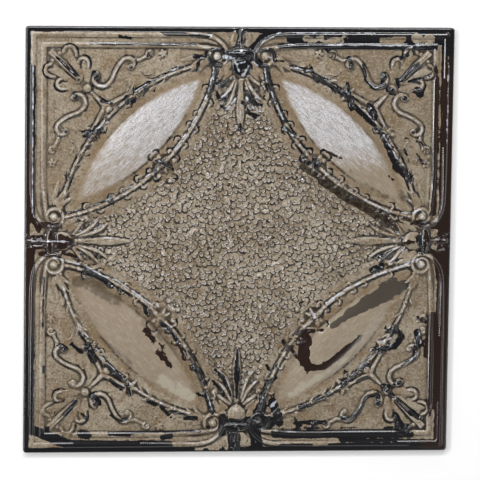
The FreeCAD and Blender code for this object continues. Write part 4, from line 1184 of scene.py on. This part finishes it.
def slopeNormals(values, used, sign):
    # the relief's own slopes, finer than the mesh
    r, c = used // pointsAcross, used % pointsAcross
    dx = (values[r, np.minimum(c + 1, fineCells)] - values[r, np.maximum(c - 1, 0)]) / (2 * fineStep)
    dy = (values[np.minimum(r + 1, fineCells), c] - values[np.maximum(r - 1, 0), c]) / (2 * fineStep)
    normals = np.stack([-dx, -dy, np.ones(len(used))], 1) * sign
    return normals / np.linalg.norm(normals, axis=1)[:, None]


normals = np.zeros(len(points) * 3, np.float32)
mesh.vertex_normals.foreach_get("vector", normals)
normals = normals.reshape(-1, 3)
normals[:len(frontPoints)] = slopeNormals(relief, frontUsed, 1)
normals[len(frontPoints):len(frontPoints) + len(backPoints)] = slopeNormals(backRelief, backUsed, -1)
mesh.normals_split_custom_set_from_vertices(normals)

tileObject = bpy.data.objects.new("pressedSheet", mesh)
bpy.context.collection.objects.link(tileObject)
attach(tileObject, "root")
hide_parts("pressed_sheet")


finish = {
    "paint": (0.245, 0.190, 0.128),
    "paintLight": (0.365, 0.305, 0.228),
    "paintDark": (0.115, 0.076, 0.040),
    "paintFresh": (0.470, 0.430, 0.335),
    "panel": (0.315, 0.250, 0.180),
    "ochre": (0.195, 0.122, 0.056),
    "dirtAndPaintedShade": (0.011, 0.007, 0.004),
    "paintedHighlight": (0.66, 0.63, 0.61),
    "paintedGlint": (0.56, 0.58, 0.63),
    "black": (0.004, 0.004, 0.006),
    "brown": (0.018, 0.007, 0.004),
    "film": (0.064, 0.056, 0.036),
    "bareMetal": (0.062, 0.050, 0.036),
    "paintedSheen": (0.70, 0.69, 0.71),
    "paintedSheenDark": (0.25, 0.235, 0.235),
    "back": (0.060, 0.048, 0.040),
    "coatRoughness": 0.15,
    "coatIor": 1.65,
    "bumpStrength": 0.45,
    "bumpDepth": 0.0006,
    "dottedScale": 420.0,
}

# scale, detail, roughness and distortion of the noises
grains = {
    "broad": (14.0, 5.0, 0.55, 0.0),
    "patchy": (42.0, 3.0, 0.5, 0.3),
    "mottled": (120.0, 4.0, 0.6, 0.0),
    "fine": (320.0, 4.0, 0.6, 0.0),
    "grain": (800.0, 2.0, 0.6, 0.0),
    "streak": (1.0, 3.0, 0.6, 0.0),
}


def makePaintedTin():
    f = finish
    material = bpy.data.materials.new("wornPaintOnTin")
    material.use_nodes = True
    n = Nodes(material.node_tree)
    shader = material.node_tree.nodes["Principled BSDF"]
    place = n.add("ShaderNodeTexCoord").outputs["Object"]
    upTile = n.axes(place)["Y"]
    crestAndShade, panel, field, face = n.mask("crestAndShade"), n.mask("panel"), n.mask("pebble"), n.mask("face")
    stone, shadowCrescent, glint = pebbleNodes(n, place)
    names = ("broad", "patchy", "mottled", "fine", "grain")
    broad, patchy, mottled, fine, grain = [n.noise(place, *grains[name]) for name in names]
    colour = rgba(f["paint"])

    def cover(share, name):
        # lays another colour of the finish over what is there
        nonlocal colour
        colour = n.mix(share, colour, rgba(f[name]))

    def uneven(value, amount, low, high):
        return n.between(n.plus(value, n.swing(mottled, amount)), low, high)

    # paint: beige, lighter and darker in clouds
    cover(n.between(broad, 0.40, 0.62), "paintLight")
    cover(n.times(n.between(mottled, 0.47, 0.68), 0.75), "paintDark")
    cover(n.times(n.between(patchy, 0.52, 0.66), n.minus(0.6, n.times(field, 0.35))), "ochre")
    speck = n.plus(n.times(fine, 0.6), n.times(grain, 0.4))
    cover(n.times(n.between(speck, 0.515, 0.61), 0.65), "paintDark")
    cover(n.times(n.between(speck, 0.48, 0.39), 0.6), "paintFresh")
    cover(n.times(panel, 0.8), "panel")
    # brush marks along the panels
    folded = n.vector("ABSOLUTE", place)
    lengthwise = n.add("ShaderNodeCombineXYZ", {"X": n.vector("DOT_PRODUCT", folded, (300.0, 300.0, 0.0)),
                                                "Y": n.vector("DOT_PRODUCT", folded, (-45.0, 45.0, 0.0))})
    streak = n.noise(lengthwise.outputs[0], *grains["streak"])
    cover(n.times(n.times(panel, n.between(streak, 0.46, 0.70)), 0.45), "paintFresh")
    cover(n.times(n.times(n.mask("ochre"), n.between(patchy, 0.2, 0.55)), 0.8), "ochre")
    # painted sheen: a pale silvery reflection laid on the upper panels
    sparkle = n.plus(n.times(grain, 0.7), n.times(streak, 0.3))
    paintedSheenGrain = n.mix(n.between(sparkle, 0.36, 0.6), rgba(f["paintedSheenDark"]), rgba(f["paintedSheen"]))
    gleam = n.plus(n.mask("paintedSheen"), n.plus(n.swing(mottled, 0.8), n.swing(streak, 0.8)))
    colour = n.mix(n.times(n.between(gleam, 0.3, 1.05), 0.95), colour, paintedSheenGrain)
    # brushed, smeared and uncovered places
    cover(n.times(uneven(n.mask("fresh"), 2.0, 0.35, 0.9), 0.7), "paintFresh")
    cover(n.times(uneven(n.mask("smudge"), 1.6, 0.3, 0.9), 0.55), "dirtAndPaintedShade")
    cover(uneven(n.mask("bareMetal"), 0.5, 0.45, 0.55), "bareMetal")
    # pebbles: a painted shadow crescent on their far side from the light, and a painted highlight crescent next
    # to it
    cover(n.times(n.times(n.times(shadowCrescent, field), n.between(patchy, 0.22, 0.38)), 0.97), "dirtAndPaintedShade")
    cover(n.times(n.times(n.times(glint, field), n.between(mottled, 0.36, 0.56)), 0.9), "paintedHighlight")
    # the tops of raised work get a painted highlight, and the hollows beside them are darkened with dirt and
    # painted shade
    cover(n.times(uneven(crestAndShade, 2.6, 0.8, 1.05), 0.6), "paintedHighlight")
    dirtAndShadeStrength = n.plus(0.62, n.times(n.between(broad, 0.42, 0.56), 0.36))
    cover(n.times(uneven(crestAndShade, 0.5, -0.14, -0.42), dirtAndShadeStrength), "dirtAndPaintedShade")
    # paint worn through to the dark lacquered ground
    ragged = n.plus(n.swing(patchy, 0.75), n.swing(mottled, 0.8))
    raised = n.times(n.math("ABSOLUTE", crestAndShade), 0.18)
    worn = n.between(n.plus(n.plus(n.mask("wear"), raised), ragged), 0.50, 0.60)
    chipped = n.between(n.plus(n.mask("chip"), ragged), 0.44, 0.52)
    lost = n.math("MULTIPLY", n.larger(worn, chipped), face, clamp=True)
    browner = n.larger(n.between(n.mask("brown"), 0.3, 0.7), chipped)
    dark = n.mix(browner, rgba(f["black"]), rgba(f["brown"]))
    film = n.times(n.times(chipped, n.between(mottled, 0.38, 0.60)), n.times(n.between(upTile, 0.0, 0.02), 0.8))
    dark = n.mix(film, dark, rgba(f["film"]))
    colour = n.mix(lost, colour, dark)
    # painted highlights where the glint strokes lie
    cover(n.times(uneven(n.mask("glint"), 2.4, 0.5, 0.95), 0.85), "paintedGlint")
    colour = n.mix(face, rgba(f["back"]), colour)
    n.plug(colour, shader.inputs["Base Color"])
    # gloss: the bare ground is lacquered, the paint satin, and the lower edge dulled by dust
    clean = n.minus(1.0, n.times(n.between(upTile, -0.18, -0.27), 0.6))
    rough = n.minus(n.plus(0.40, n.swing(fine, 0.3)), n.times(n.times(lost, clean), 0.2))
    n.plug(n.larger(rough, 0.14), shader.inputs["Roughness"])
    n.plug(n.times(n.plus(0.30, n.times(lost, 0.45)), clean), shader.inputs["Coat Weight"])
    shader.inputs["Coat Roughness"].default_value = f["coatRoughness"]
    shader.inputs["Coat IOR"].default_value = f["coatIor"]
    # fine surface: dots round the ornament, grain, and pebbles
    stones = n.add("ShaderNodeTexVoronoi", {"Vector": place, "Scale": f["dottedScale"]}, feature="F1")
    dots = n.times(n.between(stones.outputs["Distance"], 0.45, 0.1), n.mask("stipple"))
    rise = n.plus(n.times(dots, 0.9), n.times(fine, 0.5))
    rise = n.plus(rise, n.times(grain, 0.25))
    rise = n.plus(rise, n.times(mottled, 0.6))
    rise = n.minus(rise, n.times(lost, 0.4))
    rise = n.times(rise, n.minus(1.0, n.times(lost, 0.75)))
    rise = n.plus(rise, n.times(n.times(stone, field), 0.8))
    sockets = {"Strength": f["bumpStrength"], "Distance": f["bumpDepth"], "Height": rise}
    bump = n.add("ShaderNodeBump", sockets)
    for name in ("Normal", "Coat Normal"):
        n.plug(bump.outputs["Normal"], shader.inputs[name])
    return material


mesh.materials.append(makePaintedTin())
print("sheet finished")


studio = {
    "floorSize": 6.0,
    "floorColour": (0.86, 0.86, 0.86),
    "floorGlow": 0.24,
    "floorDrop": 0.0005,      # just under the tile
    "horizon": 1.0, "zenith": 0.10,
    "lamps": [
        # name, power, length, width, place
        ("topLamp", 38.0, 1.6, 0.36, (0.1, 2.0, 2.0)),
        ("cornerLamp", 26.0, 1.3, 0.36, (-1.4, 1.4, 2.0)),
        ("leftLamp", 26.0, 1.6, 0.36, (-2.0, 0.1, 2.0)),
        ("fillLamp", 8.0, 1.4, 0.8, (1.5, -1.2, 2.2)),
    ],
}

cameraView = {
    "place": (-0.5816, 0.7271, 5.3782),
    "turn": (-0.1388, -0.1010, 0.0129),
    "sensor": 36.0,
    "lens": 3832.242 / 480 * 36,
    "shift": (20.8701 / 480, 14.7908 / 480),
}


def makeFloor():
    s = studio["floorSize"] / 2
    floorMesh = bpy.data.meshes.new("floor")
    floorMesh.from_pydata([(-s, -s, 0), (s, -s, 0), (s, s, 0), (-s, s, 0)], [], [(0, 1, 2, 3)])
    floor = bpy.data.objects.new("floor", floorMesh)
    bpy.context.collection.objects.link(floor)
    floor.location.z = -studio["floorDrop"]
    material = bpy.data.materials.new("floorWhite")
    material.use_nodes = True
    n = Nodes(material.node_tree)
    shader = material.node_tree.nodes["Principled BSDF"]
    shader.inputs["Base Color"].default_value = rgba(studio["floorColour"])
    shader.inputs["Roughness"].default_value = 0.9
    rays = n.add("ShaderNodeLightPath")
    seen = n.larger(n.larger(rays.outputs["Is Camera Ray"], rays.outputs["Is Glossy Ray"]),
                    rays.outputs["Is Transmission Ray"])
    shader.inputs["Emission Color"].default_value = (1, 1, 1, 1)
    n.plug(n.times(seen, studio["floorGlow"]), shader.inputs["Emission Strength"])
    floorMesh.materials.append(material)


def makeWorld():
    # pale walls under a dark ceiling, so that the lacquer stays black and its slopes catch the light
    world = bpy.data.worlds.new("studioSky")
    bpy.context.scene.world = world
    world.use_nodes = True
    n = Nodes(world.node_tree)
    upward = n.axes(n.add("ShaderNodeTexCoord").outputs["Generated"])["Z"]
    lift = n.between(upward, 0.16, 0.5)
    background = world.node_tree.nodes["Background"]
    strength = n.plus(studio["horizon"], n.times(lift, studio["zenith"] - studio["horizon"]))
    n.plug(strength, background.inputs["Strength"])
    background.inputs["Color"].default_value = (1, 1, 1, 1)


def makeLamp(name, power, length, width, place):
    lamp = bpy.data.lights.new(name, "AREA")
    lamp.energy = power
    lamp.shape = "RECTANGLE"
    lamp.size = length
    lamp.size_y = width
    holder = bpy.data.objects.new(name, lamp)
    bpy.context.collection.objects.link(holder)
    holder.location = place
    holder.rotation_euler = (-holder.location).to_track_quat("-Z", "Y").to_euler()


def makeCamera():
    camera = bpy.data.cameras.new("camera")
    holder = bpy.data.objects.new("camera", camera)
    bpy.context.collection.objects.link(holder)
    holder.location = cameraView["place"]
    holder.rotation_euler = cameraView["turn"]
    camera.sensor_width = cameraView["sensor"]
    camera.lens = cameraView["lens"]
    camera.shift_x, camera.shift_y = cameraView["shift"]
    camera.clip_end = 50.0
    bpy.context.scene.camera = holder


makeFloor()
makeWorld()
for lampValues in studio["lamps"]:
    makeLamp(*lampValues)
makeCamera()
bpy.context.scene.view_settings.view_transform = "Standard"
print("floor, lamps and camera set")
